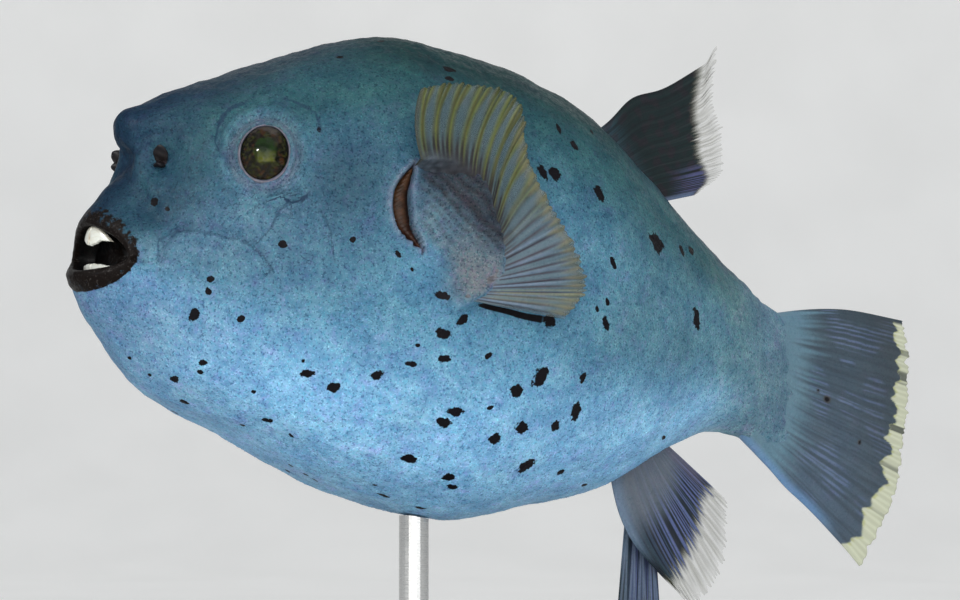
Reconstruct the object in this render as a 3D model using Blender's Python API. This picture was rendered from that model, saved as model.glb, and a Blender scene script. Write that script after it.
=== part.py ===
"""Blackspotted pufferfish, life size, as a still swimming model on a display stand.

The fish is drawn straight, in shares of its standard length: (along, side, up), with along 0 at the lips
and 1 at the base of the tail fin, side negative on the fish's left, and up measured from the line that
joins the mouth to the tail. place() then sweeps the tail aside, tips the nose up and sets it on the stand.
"""

import math

import bmesh
import bpy
import numpy as np

# Driving dimensions, in metres and radians
STANDARD_LENGTH = 0.215
AXIS_HEIGHT = 0.128
NOSE_UP = math.radians(6.5)
GAP = 0.0003

# The pose, in shares of the standard length
BALANCE_POINT = 0.45
HEAD_START, HEAD_TURN_RATE, HEAD_ROLL = 0.30, 0.78, math.radians(2.3)
TAIL_START, TAIL_TURN_RATE = 0.50, 0.25

# A ring of the body or of the mouth: where its widest point is along the fish, its half width, the height of
# its widest point, how far its top leads its flank, the height of its top, the same two for its bottom, and
# the squareness of its outline (2 is an ellipse), and the share by which its upper half is pinched in
ALONG, HALF_WIDTH, LEVEL, BACK_LEAD, BACK, BELLY_LEAD, BELLY, SQUARENESS, PINCH = range(9)
STATIONS = np.array([
    (0.031, 0.070, 0.002, 0.022, 0.058, 0.027, -0.0465, 2.0, 0.00),
    (0.055, 0.088, 0.002, 0.018, 0.089, 0.033, -0.075, 1.8, 0.25),
    (0.082, 0.107, 0.006, 0.056, 0.144, 0.034, -0.099, 1.8, 0.48),
    (0.110, 0.126, 0.014, 0.083, 0.181, 0.029, -0.130, 1.9, 0.42),
    (0.140, 0.143, 0.028, 0.053, 0.212, 0.028, -0.149, 2.2, 0.20),
    (0.175, 0.156, 0.040, 0.025, 0.243, 0.017, -0.165, 2.5, 0.04),
    (0.250, 0.177, 0.048, 0.000, 0.294, 0.000, -0.195, 2.6, 0.00),
    (0.370, 0.204, 0.046, 0.000, 0.331, 0.000, -0.238, 2.4, 0.00),
    (0.500, 0.211, 0.034, 0.000, 0.324, 0.000, -0.256, 2.2, 0.00),
    (0.620, 0.192, 0.034, 0.000, 0.294, 0.000, -0.226, 2.1, 0.00),
    (0.720, 0.151, 0.022, 0.000, 0.238, 0.000, -0.195, 2.0, 0.00),
    (0.820, 0.100, 0.021, 0.000, 0.173, 0.000, -0.131, 2.0, 0.00),
    (0.910, 0.063, 0.014, 0.000, 0.121, 0.000, -0.092, 2.0, 0.00),
    (1.000, 0.036, -0.011, 0.000, 0.083, 0.000, -0.106, 2.0, 0.00),
])
MOUTH_RINGS = np.array([
    (0.044, 0.046, 0.002, 0.010, 0.028, 0.010, -0.020, 1.7, 0.0),
    (0.037, 0.057, 0.001, 0.018, 0.037, 0.015, -0.027, 1.7, 0.0),
    (0.028, 0.0615, 0.000, 0.026, 0.0355, 0.030, -0.0215, 1.6, 0.0),
    (0.0235, 0.063, 0.000, 0.026, 0.039, 0.0325, -0.0255, 1.65, 0.0),
    (0.0235, 0.066, 0.000, 0.024, 0.0445, 0.033, -0.0305, 1.8, 0.0),
    (0.027, 0.0685, 0.001, 0.023, 0.052, 0.031, -0.040, 1.9, 0.0),
    (0.0305, 0.0698, 0.002, 0.022, 0.0575, 0.0275, -0.0460, 2.0, 0.0),
])
NOSE_HOLLOW, HOLLOW_DEPTH, HOLLOW_RADIUS = np.array((0.0575, 0.053, 0.121)), 0.0168, 0.026
FACE, HEAD_BACK, TRUNK_BACK, TAIL_BACK = 0.031, 0.386, 0.800, 1.0
AROUND = 40
MOUTH_FLOOR, LIPS_BACK, FACE_MIDDLE = 0.042, 0.056, 0.059
BEHIND_MOUTH = np.array((0.049, 0.060, 0.002, 0.010, 0.046, 0.010, -0.036, 2.0, 0.0))

# The beak: two white plates, each from its biting edge to the gum. Of each: where its middle is along the
# fish, how far it sweeps back with the side squared, its half width, and the height of its biting edge
TOOTH_THICKNESS = 0.008
UPPER_TOOTH = (0.007, 15.0, 0.028, 0.0115)
LOWER_TOOTH = (0.015, 10.0, 0.038, -0.0115)

# Features of the head: a place along the fish and an angle up from the flank, in degrees
EYE_PLACE = (0.163, 27.3)
EYE_RADIUS, EYE_OPENING = 0.0440, 0.0355
NOSTRIL_PLACE = (0.0965, 48.5)
NOSTRIL_RADIUS, NOSTRIL_REACH = 0.0090, 0.021
GILL_SLIT = [(0.342, 16.5), (0.330, 9.0), (0.336, 3.5), (0.361, 0.0)]
GILL_HALF_WIDTH, GILL_HALF_DEPTH = 0.009, 0.008

# Fins: points (along, side, up) of the root line and of the margin, front to back
DORSAL_ROOT = [(0.668, 0, 0.260), (0.720, 0, 0.222), (0.775, 0, 0.190)]
DORSAL_MARGIN = [
    (0.880, 0.020, 0.415), (0.872, 0.014, 0.350), (0.884, 0.004, 0.300), (0.884, -0.004, 0.258),
    (0.842, -0.008, 0.214),
]
DORSAL_ARCH, ANAL_ARCH = 0.010, -0.010
ANAL_ROOT = [(0.748, 0, -0.150), (0.785, 0, -0.125), (0.815, 0, -0.105)]
ANAL_MARGIN = [
    (0.820, 0.034, -0.350), (0.846, -0.012, -0.366), (0.880, -0.026, -0.340), (0.918, -0.010, -0.290),
    (0.940, 0.002, -0.232), (0.942, 0.006, -0.178),
]
CAUDAL_ROOT = [
    (0.960, 0, 0.070), (0.950, 0, 0.036), (0.945, 0, -0.010), (0.938, 0, -0.050), (0.930, 0, -0.078),
]
CAUDAL_MARGIN = [
    (1.233, 0.004, 0.106), (1.247, 0.000, 0.050), (1.249, -0.006, -0.020), (1.246, -0.006, -0.085),
    (1.229, 0.000, -0.160), (1.193, 0.008, -0.243),
]
PECTORAL_HINGE = [(0.350, 0.170, 0.146), (0.366, 0.170, 0.100), (0.384, 0.170, 0.040), (0.408, 0.170, -0.004)]
PECTORAL_WRIST = [
    (0.338, 0.218, 0.150), (0.372, 0.222, 0.155), (0.410, 0.226, 0.138), (0.434, 0.228, 0.106),
    (0.446, 0.230, 0.070), (0.446, 0.232, 0.036), (0.432, 0.228, 0.010), (0.411, 0.220, -0.006),
]
PECTORAL_MARGIN = [
    (0.314, 0.250, 0.226), (0.355, 0.262, 0.238), (0.405, 0.268, 0.240), (0.436, 0.268, 0.226),
    (0.452, 0.266, 0.170), (0.488, 0.268, 0.116), (0.524, 0.272, 0.068), (0.541, 0.272, 0.024),
    (0.524, 0.262, -0.016),
]
FIN_EDGE = 0.0028

# Stand, in metres
BASE_LENGTH, BASE_WIDTH, BASE_THICKNESS, BASE_CORNER = 0.150, 0.104, 0.012, 0.030
ROD_RADIUS = 0.004
COLLAR_RADIUS, COLLAR_HEIGHT = 0.009, 0.006


def curve(x, xs, ys):
    """A smooth line through the points (xs, ys) that never overshoots them, read at each x."""
    steps, rises = np.diff(xs), np.diff(ys) / np.diff(xs)
    slopes = np.zeros(len(xs))
    slopes[0], slopes[-1] = rises[0], rises[-1]
    for i in range(1, len(xs) - 1):
        if rises[i - 1] * rises[i] > 0:
            before, after = 2 * steps[i] + steps[i - 1], steps[i] + 2 * steps[i - 1]
            slopes[i] = (before + after) / (before / rises[i - 1] + after / rises[i])
    x = np.clip(x, xs[0], xs[-1])
    i = np.clip(np.searchsorted(xs, x, side="right") - 1, 0, len(xs) - 2)
    h = steps[i]
    t = (x - xs[i]) / h
    start = (1 + 2 * t) * (1 - t) ** 2 * ys[i] + t * (1 - t) ** 2 * h * slopes[i]
    end = t * t * (3 - 2 * t) * ys[i + 1] + t * t * (t - 1) * h * slopes[i + 1]
    return start + end


def station(along):
    """The ring's measures at a place along the body, averaged a little either side so they stay fair."""
    along = np.asarray(along, float)
    reach = 0.1 * np.clip(along - FACE, 0, 0.2)
    measures = [along]
    for column in range(1, 9):
        reads = [curve(along + reach * k, STATIONS[:, 0], STATIONS[:, column]) for k in (-1, -0.5, 0, 0.5, 1)]
        measures.append(sum(reads) / len(reads))
    return measures


def ring_point(ring, angle, grow=0.0):
    """A point of a ring: angle 0 is the left flank and a quarter turn is the top."""
    across, rise = np.cos(angle), np.sin(angle)
    power = 2 / ring[SQUARENESS]
    upper = rise > 0
    pinch = np.where(upper, ring[PINCH], 0) * rise * rise
    side = -(ring[HALF_WIDTH] * (1 - pinch) + grow) * np.sign(across) * np.abs(across) ** power
    height = np.where(upper, ring[BACK] - ring[LEVEL], ring[LEVEL] - ring[BELLY]) + grow
    up = ring[LEVEL] + height * np.sign(rise) * np.abs(rise) ** power
    lead = np.where(upper, ring[BACK_LEAD], ring[BELLY_LEAD]) * rise * rise
    return np.stack(np.broadcast_arrays(ring[ALONG] - lead, side, up), -1)


def skin_point(along, angle, grow=0.0):
    """A point of the skin, let in a little round each nostril."""
    point = ring_point(station(along), angle, grow)
    hand = np.sign(point[..., 1])
    away = np.stack([point[..., 0], np.abs(point[..., 1]), point[..., 2]], -1) - NOSE_HOLLOW
    depth = HOLLOW_DEPTH * np.exp(-(away**2).sum(-1) / HOLLOW_RADIUS**2)
    return point + np.stack([0.61 * depth, -0.79 * hand * depth, 0 * depth], -1)


def place(points):
    """From the straight fish to its place on the stand, in metres: head turned left, tail swept right."""
    along, side, up = np.moveaxis(np.asarray(points, float), -1, 0)
    ahead, past = np.maximum(HEAD_START - along, 0), np.maximum(along - TAIL_START, 0)
    roll = HEAD_ROLL * np.minimum(ahead / HEAD_START, 1)
    side, up = side * np.cos(roll) - up * np.sin(roll), up * np.cos(roll) + side * np.sin(roll)
    left, right = HEAD_TURN_RATE * ahead, TAIL_TURN_RATE * past
    along = along + ahead - np.sin(left) / HEAD_TURN_RATE - past + np.sin(right) / TAIL_TURN_RATE
    aside = (np.cos(left) - 1) / HEAD_TURN_RATE + (1 - np.cos(right)) / TAIL_TURN_RATE
    along, side = along - np.sin(left + right) * side, aside + np.cos(left + right) * side
    back, up = (along - BALANCE_POINT) * STANDARD_LENGTH, up * STANDARD_LENGTH
    x = back * math.cos(NOSE_UP) + up * math.sin(NOSE_UP)
    z = AXIS_HEIGHT - back * math.sin(NOSE_UP) + up * math.cos(NOSE_UP)
    return np.stack([x, side * STANDARD_LENGTH, z], -1)


def through(points, share):
    """A smooth curve through the points, read at a share of the way, from 0 to 1."""
    points = np.array(points, float)
    knots = np.linspace(0, 1, len(points))
    return np.stack([curve(share, knots, points[:, axis]) for axis in range(3)], -1)


def skin_frame(along, angle, hand):
    """A place on the skin with the outward direction there; hand is -1 on the fish's left."""
    step = 0.004
    here = skin_point(along, angle)
    back = skin_point(along + step, angle) - here
    higher = skin_point(along, angle + step) - here
    outward = np.cross(higher, back)
    outward *= -np.sign(outward[1]) / np.linalg.norm(outward)
    mirror = np.array([1, -hand, 1])
    return here * mirror, outward * mirror


def colour(name, rgb, roughness, metallic=0.0):
    material = bpy.data.materials.get(name) or bpy.data.materials.new(name)
    material.use_nodes = True
    shader = material.node_tree.nodes["Principled BSDF"]
    shader.inputs["Base Color"].default_value = (*rgb, 1)
    shader.inputs["Roughness"].default_value = roughness
    shader.inputs["Metallic"].default_value = metallic
    return material


SKIN = ("skin", (0.16, 0.34, 0.52), 0.55)
LIP_SKIN = ("lip_skin", (0.012, 0.011, 0.014), 0.45)
DARK_FIN = ("dark_fin", (0.03, 0.045, 0.055), 0.5)
GREY_FIN = ("grey_fin", (0.10, 0.14, 0.19), 0.5)
TAN_FIN = ("tan_fin", (0.16, 0.17, 0.15), 0.5)
TOOTH = ("tooth", (0.80, 0.78, 0.70), 0.3)
EYE = ("eye", (0.03, 0.03, 0.012), 0.08)
NOSE_FLESH = ("nose_flesh", (0.035, 0.018, 0.018), 0.5)
GILL_FLESH = ("gill_flesh", (0.10, 0.03, 0.015), 0.4)
BASE_WOOD = ("base_wood", (0.045, 0.026, 0.016), 0.4)
ROD_STEEL = ("rod_steel", (0.60, 0.60, 0.58), 0.3, 1.0)


def finish(name, mesh, finish_of, helper=False):
    """Makes the object from a bmesh that already stands in its place."""
    bmesh.ops.recalc_face_normals(mesh, faces=mesh.faces)
    data = bpy.data.meshes.new(name)
    mesh.to_mesh(data)
    mesh.free()
    item = bpy.data.objects.new(name, data)
    bpy.context.scene.collection.objects.link(item)
    if helper:
        item.hide_render = True
        item.display_type = "WIRE"
    else:
        data.materials.append(colour(*finish_of))
        data.shade_smooth()
        data.set_sharp_from_angle(angle=math.radians(50))
    return item


def loft(name, rings, finish_of, helper=False, start_tip=None, end_tip=None):
    """Skins rings of equal counts one to the next and closes each end on its tip, or on the ring's middle."""
    mesh = bmesh.new()
    rows = [[mesh.verts.new(point) for point in ring] for ring in rings]
    for before, after in zip(rows, rows[1:]):
        for i in range(len(before)):
            j = (i + 1) % len(before)
            mesh.faces.new((before[i], before[j], after[j], after[i]))
    for row, ring, tip in ((rows[0], rings[0], start_tip), (rows[-1], rings[-1], end_tip)):
        centre = mesh.verts.new(np.mean(ring, axis=0) if tip is None else tip)
        for i in range(len(row)):
            mesh.faces.new((row[i], row[(i + 1) % len(row)], centre))
    return finish(name, mesh, finish_of, helper)


def cut(item, cutter):
    difference = item.modifiers.new("cut_by_" + cutter.name, "BOOLEAN")
    difference.operation = "DIFFERENCE"
    difference.solver = "EXACT"
    difference.object = cutter


TURN = np.arange(AROUND) * 2 * math.pi / AROUND
CLEAR = GAP / STANDARD_LENGTH


def body_rings(places, grow=0.0):
    return [place(skin_point(along, TURN, grow)) for along in places]


def spaced(start, end, count):
    return np.linspace(start, end, count)


def head_places():
    """Close together over the steep face, wider apart over the cheek."""
    return np.concatenate([np.arange(FACE + CLEAR, 0.18, 0.0122), spaced(0.184, HEAD_BACK, 8)])


def trunk_places():
    return spaced(HEAD_BACK + CLEAR, TRUNK_BACK, 14)


def tail_places():
    return spaced(TRUNK_BACK + CLEAR, TAIL_BACK, 8)


def make_lips():
    """The black lips round the open mouth, from the floor of the mouth out to the skin of the face."""
    rings = [place(ring_point(ring, TURN)) for ring in MOUTH_RINGS] + body_rings([FACE])
    rings.append(place(ring_point(BEHIND_MOUTH, TURN)))
    floor, back = place((MOUTH_FLOOR, 0, 0.004)), place((LIPS_BACK, 0, 0.006))
    return loft("lips", rings, LIP_SKIN, start_tip=floor, end_tip=back)


def make_body():
    hollow = place(ring_point(BEHIND_MOUTH, TURN) + np.array([3 * CLEAR, 0, 0]))
    head = loft("head", [hollow] + body_rings(head_places()), SKIN, start_tip=place((FACE_MIDDLE, 0, 0.006)))
    loft("trunk", body_rings(trunk_places()), SKIN)
    loft("tail_stalk", body_rings(tail_places()), SKIN)
    return head


def make_body_cutter():
    """The whole body, larger all round by the gap that parts keep, for cutting the roots of the fins."""
    places = np.concatenate([head_places(), trunk_places(), tail_places(), [TAIL_BACK + CLEAR]])
    tip = place((FACE_MIDDLE, 0, 0.006))
    return loft("body_cutter", body_rings(places, CLEAR), SKIN, helper=True, start_tip=tip)


def tooth_plate(name, tooth, gum):
    """One jaw's plate: a curved band from the biting edge to the gum, proud at the seam of its two halves."""
    front, sweep, half_width, bite = tooth
    rings = []
    for share in np.linspace(-1, 1, 13):
        side = share * half_width
        face = front + sweep * side * side
        root = gum * (1 - 0.5 * share * share)
        edge = bite + (root - bite) * 0.6 * share * share
        waist = edge * 0.4 + root * 0.6
        corners = [(face + 0.0015, edge), (face, waist), (face + 0.002, root)]
        corners += [(face + TOOTH_THICKNESS, root), (face + TOOTH_THICKNESS - 0.002, edge)]
        rings.append([place((along, side, up)) for along, up in corners])
    return loft(name, rings, TOOTH)


def make_teeth():
    upper_gum, lower_gum = MOUTH_RINGS[1][BACK] - 3 * CLEAR, MOUTH_RINGS[1][BELLY] + 2 * CLEAR
    tooth_plate("upper_teeth", UPPER_TOOTH, upper_gum)
    tooth_plate("lower_teeth", LOWER_TOOTH, lower_gum)


def ball(name, centre, radius, finish_of, helper=False):
    mesh = bmesh.new()
    bmesh.ops.create_uvsphere(mesh, u_segments=18, v_segments=10, radius=radius * STANDARD_LENGTH)
    bmesh.ops.translate(mesh, verts=mesh.verts, vec=place(centre))
    return finish(name, mesh, finish_of, helper)


def make_eye(side_name, hand, head):
    along, degrees = EYE_PLACE
    here, outward = skin_frame(along, math.radians(degrees), hand)
    centre = here - outward * math.sqrt(EYE_RADIUS**2 - EYE_OPENING**2)
    ball("eye_" + side_name, centre, EYE_RADIUS, EYE)
    cut(head, ball("socket_cutter_" + side_name, centre, EYE_RADIUS + CLEAR, EYE, helper=True))


def make_nostril(side_name, hand, body_cutter):
    """A short fleshy flap in place of an open nostril: a narrow root that widens to a flat, blunt leaf."""
    along, degrees = NOSTRIL_PLACE
    here, outward = skin_frame(along, math.radians(degrees), hand)
    upward = np.array([0, 0, 1]) - outward * outward[2]
    upward /= np.linalg.norm(upward)
    forward = np.cross(outward, upward)
    rings = []
    turn = np.arange(10)[:, None] * 2 * math.pi / 10
    for reach, wide, tall in ((-0.4, 0.7, 0.9), (0.1, 0.7, 0.9), (0.5, 0.95, 1.55), (0.85, 0.8, 1.35)):
        across = forward * np.cos(turn) * wide + upward * np.sin(turn) * tall
        rings.append(place(here + outward * reach * NOSTRIL_REACH + across * NOSTRIL_RADIUS))
    tip = place(here + outward * 0.95 * NOSTRIL_REACH)
    cut(loft("nostril_" + side_name, rings, NOSE_FLESH, end_tip=tip), body_cutter)


def gill_rings(hand, extra):
    rings = []
    slit = [(along, math.radians(degrees), 0) for along, degrees in GILL_SLIT]
    turn = np.arange(8)[:, None] * math.pi / 4
    for share in np.linspace(0, 1, 13):
        along, angle, _ = through(slit, share)
        here, outward = skin_frame(along, angle, hand)
        forward = outward * outward[0] - np.array([1, 0, 0])
        taper = max(math.sin(math.pi * share) ** 0.7, 0.12)
        half_width = GILL_HALF_WIDTH * taper + extra
        half_depth = GILL_HALF_DEPTH * (0.5 + 0.5 * taper) + extra
        offset = forward * np.cos(turn) * half_width + outward * (np.sin(turn) * half_depth - 0.005)
        rings.append(place(here + offset))
    return rings


def make_gill(side_name, hand, head):
    """The red-brown lining of the gill opening, let into the skin at the back of the head."""
    loft("gill_" + side_name, gill_rings(hand, 0), GILL_FLESH)
    cut(head, loft("gill_cutter_" + side_name, gill_rings(hand, CLEAR), GILL_FLESH, helper=True))


def fin(name, sheet, thickness, finish_of):
    """A closed fin from a grid of middle points, sheet[across, out], thinner at its first and last rays."""
    rows, steps = sheet.shape[:2]
    ends = 0.4 + 0.6 * np.sqrt(np.sin(np.linspace(0, math.pi, rows)).clip(0))
    thickness = np.maximum(np.outer(ends, thickness), FIN_EDGE)
    across, outward = np.gradient(sheet, axis=0), np.gradient(sheet, axis=1)
    normal = np.cross(across, outward)
    normal /= np.linalg.norm(normal, axis=2, keepdims=True)
    half = normal * thickness[:, :, None] / 2
    mesh = bmesh.new()
    left, right = (
        [[mesh.verts.new(point) for point in row] for row in place(sheet + hand * half)]
        for hand in (-1, 1)
    )
    for i in range(rows - 1):
        for j in range(steps - 1):
            for face in (left, right):
                mesh.faces.new((face[i][j], face[i + 1][j], face[i + 1][j + 1], face[i][j + 1]))
    rim = [(i, 0) for i in range(rows)] + [(rows - 1, j) for j in range(1, steps)]
    rim += [(i, steps - 1) for i in range(rows - 2, -1, -1)] + [(0, j) for j in range(steps - 2, 0, -1)]
    for (i, j), (k, m) in zip(rim, rim[1:] + rim[:1]):
        mesh.faces.new((left[i][j], left[k][m], right[k][m], right[i][j]))
    return finish(name, mesh, finish_of)


def fan(root, margin, rays, steps, arch=0.0):
    """Middle points of a fin whose rays run from its root line to its margin; arch bows the front rays up."""
    share, out = np.linspace(0, 1, rays)[:, None, None], np.linspace(0, 1, steps)[None, :, None]
    start, end = through(root, share[:, 0, 0])[:, None], through(margin, share[:, 0, 0])[:, None]
    bow = np.array([-0.5, 0, 0.87]) * arch * (1 - share) ** 2 * 4 * out * (1 - out)
    return start + (end - start) * out + bow


def taper(root, steps):
    """Thickness from the fleshy root to the thin edge."""
    return FIN_EDGE + (root - FIN_EDGE) * (1 - np.linspace(0, 1, steps)) ** 1.6


def make_median_fins(body_cutter):
    dorsal = fin("dorsal_fin", fan(DORSAL_ROOT, DORSAL_MARGIN, 12, 7, DORSAL_ARCH), taper(0.034, 7), DARK_FIN)
    anal = fin("anal_fin", fan(ANAL_ROOT, ANAL_MARGIN, 12, 7, ANAL_ARCH), taper(0.030, 7), GREY_FIN)
    caudal = fin("caudal_fin", fan(CAUDAL_ROOT, CAUDAL_MARGIN, 15, 8), taper(0.044, 8), GREY_FIN)
    for item in (dorsal, anal, caudal):
        cut(item, body_cutter)


def make_pectoral(side_name, hand, body_cutter):
    """A fleshy lobe from the flank to the wrist, and a fan of rays from the wrist to the margin."""
    rays, lobe_steps, fan_steps = 17, 3, 6
    share = np.linspace(0, 1, rays)
    lines = (PECTORAL_HINGE, PECTORAL_WRIST, PECTORAL_MARGIN)
    hinge, wrist, edge = (through(line, share)[:, None] for line in lines)
    lobe = hinge + (wrist - hinge) * (np.arange(lobe_steps) / lobe_steps)[None, :, None]
    rays_out = wrist + (edge - wrist) * np.linspace(0, 1, fan_steps)[None, :, None]
    sheet = np.concatenate([lobe, rays_out], axis=1) * np.array([1, -hand, 1]) * np.array([1, -1, 1])
    thickness = np.concatenate([[0.034, 0.032, 0.026], taper(0.018, fan_steps)])
    cut(fin("pectoral_fin_" + side_name, sheet, thickness, TAN_FIN), body_cutter)


def make_base():
    """A flat plate with round corners and an eased top edge."""
    mesh = bmesh.new()
    bmesh.ops.create_cube(mesh, size=1)
    bmesh.ops.scale(mesh, vec=(BASE_LENGTH, BASE_WIDTH, BASE_THICKNESS), verts=mesh.verts)
    bmesh.ops.translate(mesh, vec=(0, 0, BASE_THICKNESS / 2), verts=mesh.verts)
    uprights = [e for e in mesh.edges if abs(e.verts[0].co.z - e.verts[1].co.z) > BASE_THICKNESS / 2]
    bmesh.ops.bevel(mesh, geom=uprights, offset=BASE_CORNER, segments=8, profile=0.5, affect="EDGES")
    top = max(mesh.faces, key=lambda face: face.calc_center_median().z)
    bmesh.ops.bevel(mesh, geom=list(top.edges), offset=0.002, segments=2, profile=0.5, affect="EDGES")
    return finish("stand_base", mesh, BASE_WOOD)


def column(name, radius, bottom, top, segments, finish_of, helper=False):
    mesh = bmesh.new()
    size = {"radius1": radius, "radius2": radius, "depth": top - bottom}
    bmesh.ops.create_cone(mesh, cap_ends=True, segments=segments, **size)
    bmesh.ops.translate(mesh, vec=(0, 0, (top + bottom) / 2), verts=mesh.verts)
    return finish(name, mesh, finish_of, helper)


def make_stand(body_cutter):
    """A plate, a low collar on it, and one rod up to the belly, whose head follows the belly's curve."""
    make_base()
    collar_top = BASE_THICKNESS + COLLAR_HEIGHT
    collar = column("stand_collar", COLLAR_RADIUS, BASE_THICKNESS + GAP, collar_top, 32, ROD_STEEL)
    rod = column("stand_rod", ROD_RADIUS, BASE_THICKNESS + GAP, AXIS_HEIGHT, 24, ROD_STEEL)
    bore = column("collar_bore_cutter", ROD_RADIUS + GAP, 0, AXIS_HEIGHT, 24, ROD_STEEL, helper=True)
    cut(collar, bore)
    cut(rod, body_cutter)


def main():
    for item in list(bpy.data.objects):
        bpy.data.objects.remove(item)
    make_lips()
    head = make_body()
    body_cutter = make_body_cutter()
    make_teeth()
    for side_name, hand in (("left", -1), ("right", 1)):
        make_eye(side_name, hand, head)
        make_nostril(side_name, hand, body_cutter)
        make_gill(side_name, hand, head)
        make_pectoral(side_name, hand, body_cutter)
    make_median_fins(body_cutter)
    make_stand(body_cutter)


main()
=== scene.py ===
"""Looks of the life-size blackspotted pufferfish: skin, prickles, eyes, beak, fins and the stand's finish.

The fish is worked out straight, in shares of its standard length: (along, side, up), with along 0 at the lips
and 1 at the base of the tail fin, side negative on the fish's left, and up measured from the line that joins
the mouth to the tail. place() bends the straight fish into its pose and sets it over the stand, in metres.
"""

import math

import bpy
import numpy as np
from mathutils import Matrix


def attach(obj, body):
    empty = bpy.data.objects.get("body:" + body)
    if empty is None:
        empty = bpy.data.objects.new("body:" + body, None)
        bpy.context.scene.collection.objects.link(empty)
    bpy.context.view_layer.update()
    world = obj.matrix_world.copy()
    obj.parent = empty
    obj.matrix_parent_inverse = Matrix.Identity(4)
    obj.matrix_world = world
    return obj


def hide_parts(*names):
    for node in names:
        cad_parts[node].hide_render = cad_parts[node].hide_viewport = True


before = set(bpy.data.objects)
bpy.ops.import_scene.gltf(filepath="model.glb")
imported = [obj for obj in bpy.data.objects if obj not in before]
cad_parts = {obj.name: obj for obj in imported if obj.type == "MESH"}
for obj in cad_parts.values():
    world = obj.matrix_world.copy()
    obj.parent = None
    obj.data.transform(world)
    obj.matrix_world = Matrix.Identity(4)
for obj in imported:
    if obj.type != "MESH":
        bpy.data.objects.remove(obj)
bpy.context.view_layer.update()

# The fish's size and place in metres, and how far its skin lies inside the form, in standard lengths
STANDARD_LENGTH = 0.215
AXIS_HEIGHT = 0.128
NOSE_UP = math.radians(6.5)
COAT_DEPTH = 0.0014

# The pose: the place that stays put, and where the head and the tail start to turn and how fast
BALANCE_POINT = 0.45
HEAD_START, HEAD_TURN_RATE, HEAD_ROLL = 0.30, 0.78, math.radians(2.3)
TAIL_START, TAIL_TURN_RATE = 0.50, 0.25

# A ring of the body or of the mouth: where its widest point is along the fish, its half width, the height of
# its widest point, how far its top leads its flank, the height of its top, the same two for its bottom, the
# squareness of its outline (2 is an ellipse), and the share by which its upper half is pinched in
ALONG, HALF_WIDTH, LEVEL, BACK_LEAD, BACK, BELLY_LEAD, BELLY, SQUARENESS, PINCH = range(9)
STATIONS = np.array([
    (0.031, 0.070, 0.002, 0.022, 0.058, 0.027, -0.0465, 2.0, 0.00),
    (0.055, 0.088, 0.002, 0.018, 0.089, 0.033, -0.075, 1.8, 0.25),
    (0.082, 0.107, 0.006, 0.056, 0.144, 0.034, -0.099, 1.8, 0.48),
    (0.110, 0.126, 0.014, 0.083, 0.181, 0.029, -0.130, 1.9, 0.42),
    (0.140, 0.143, 0.028, 0.053, 0.212, 0.028, -0.149, 2.2, 0.20),
    (0.175, 0.156, 0.040, 0.025, 0.243, 0.017, -0.165, 2.5, 0.04),
    (0.250, 0.177, 0.048, 0.000, 0.294, 0.000, -0.195, 2.6, 0.00),
    (0.370, 0.204, 0.046, 0.000, 0.331, 0.000, -0.238, 2.4, 0.00),
    (0.500, 0.211, 0.034, 0.000, 0.324, 0.000, -0.256, 2.2, 0.00),
    (0.620, 0.192, 0.034, 0.000, 0.294, 0.000, -0.226, 2.1, 0.00),
    (0.720, 0.151, 0.022, 0.000, 0.238, 0.000, -0.195, 2.0, 0.00),
    (0.820, 0.100, 0.021, 0.000, 0.173, 0.000, -0.131, 2.0, 0.00),
    (0.910, 0.063, 0.014, 0.000, 0.121, 0.000, -0.092, 2.0, 0.00),
    (0.980, 0.037, -0.006, 0.000, 0.086, 0.000, -0.098, 2.0, 0.00),
    (1.000, 0.028, -0.010, 0.000, 0.079, 0.000, -0.102, 2.0, 0.00),
    (1.020, 0.017, -0.014, 0.000, 0.072, 0.000, -0.106, 2.0, 0.00),
    (1.040, 0.007, -0.018, 0.000, 0.064, 0.000, -0.104, 2.0, 0.00),
    (1.055, 0.001, -0.020, 0.000, 0.056, 0.000, -0.098, 2.0, 0.00),
])
MOUTH_RINGS = np.array([
    (0.044, 0.046, 0.002, 0.010, 0.028, 0.010, -0.020, 1.7, 0.0),
    (0.037, 0.057, 0.001, 0.018, 0.037, 0.015, -0.027, 1.7, 0.0),
    (0.028, 0.0615, 0.000, 0.026, 0.0355, 0.030, -0.0215, 1.6, 0.0),
    (0.0235, 0.063, 0.000, 0.026, 0.039, 0.0325, -0.0255, 1.65, 0.0),
    (0.0235, 0.066, 0.000, 0.024, 0.0445, 0.033, -0.0305, 1.8, 0.0),
    (0.027, 0.0685, 0.001, 0.023, 0.052, 0.031, -0.040, 1.9, 0.0),
    (0.0305, 0.0698, 0.002, 0.022, 0.0575, 0.0275, -0.0460, 2.0, 0.0),
])
FACE, TAIL_BACK = 0.031, 1.055
# The skin's rings: how many lie in the mouth; the start, end and step of each span of the front; how many lie
# from there to the tail; and how many points there are on each ring
MOUTH_STEPS, REAR_RINGS, COLUMNS = 30, 58, 372
RING_SPANS = ((FACE, 0.20, 0.0024), (0.20, 0.318, 0.0048), (0.318, 0.47, 0.0027))
# The face lets itself in a little round each nostril: the middle, depth, radius and way there, (back, out)
NOSE_HOLLOW, HOLLOW_DEPTH, HOLLOW_RADIUS = np.array((0.0575, 0.053, 0.121)), 0.0168, 0.026
HOLLOW_WAY = (0.61, -0.79)
MOUTH_FLOOR = np.array((0.042, 0.0, 0.004))

# Of each plate of the beak: where its middle is along the fish, how far it sweeps back with the side squared,
# its half width, and the heights of its biting edge and of its gum
TOOTH_THICKNESS = 0.008
UPPER_TOOTH = (0.0045, 15.0, 0.028, 0.0115, 0.0345)
LOWER_TOOTH = (0.012, 9.0, 0.042, -0.0095, -0.0242)

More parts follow.
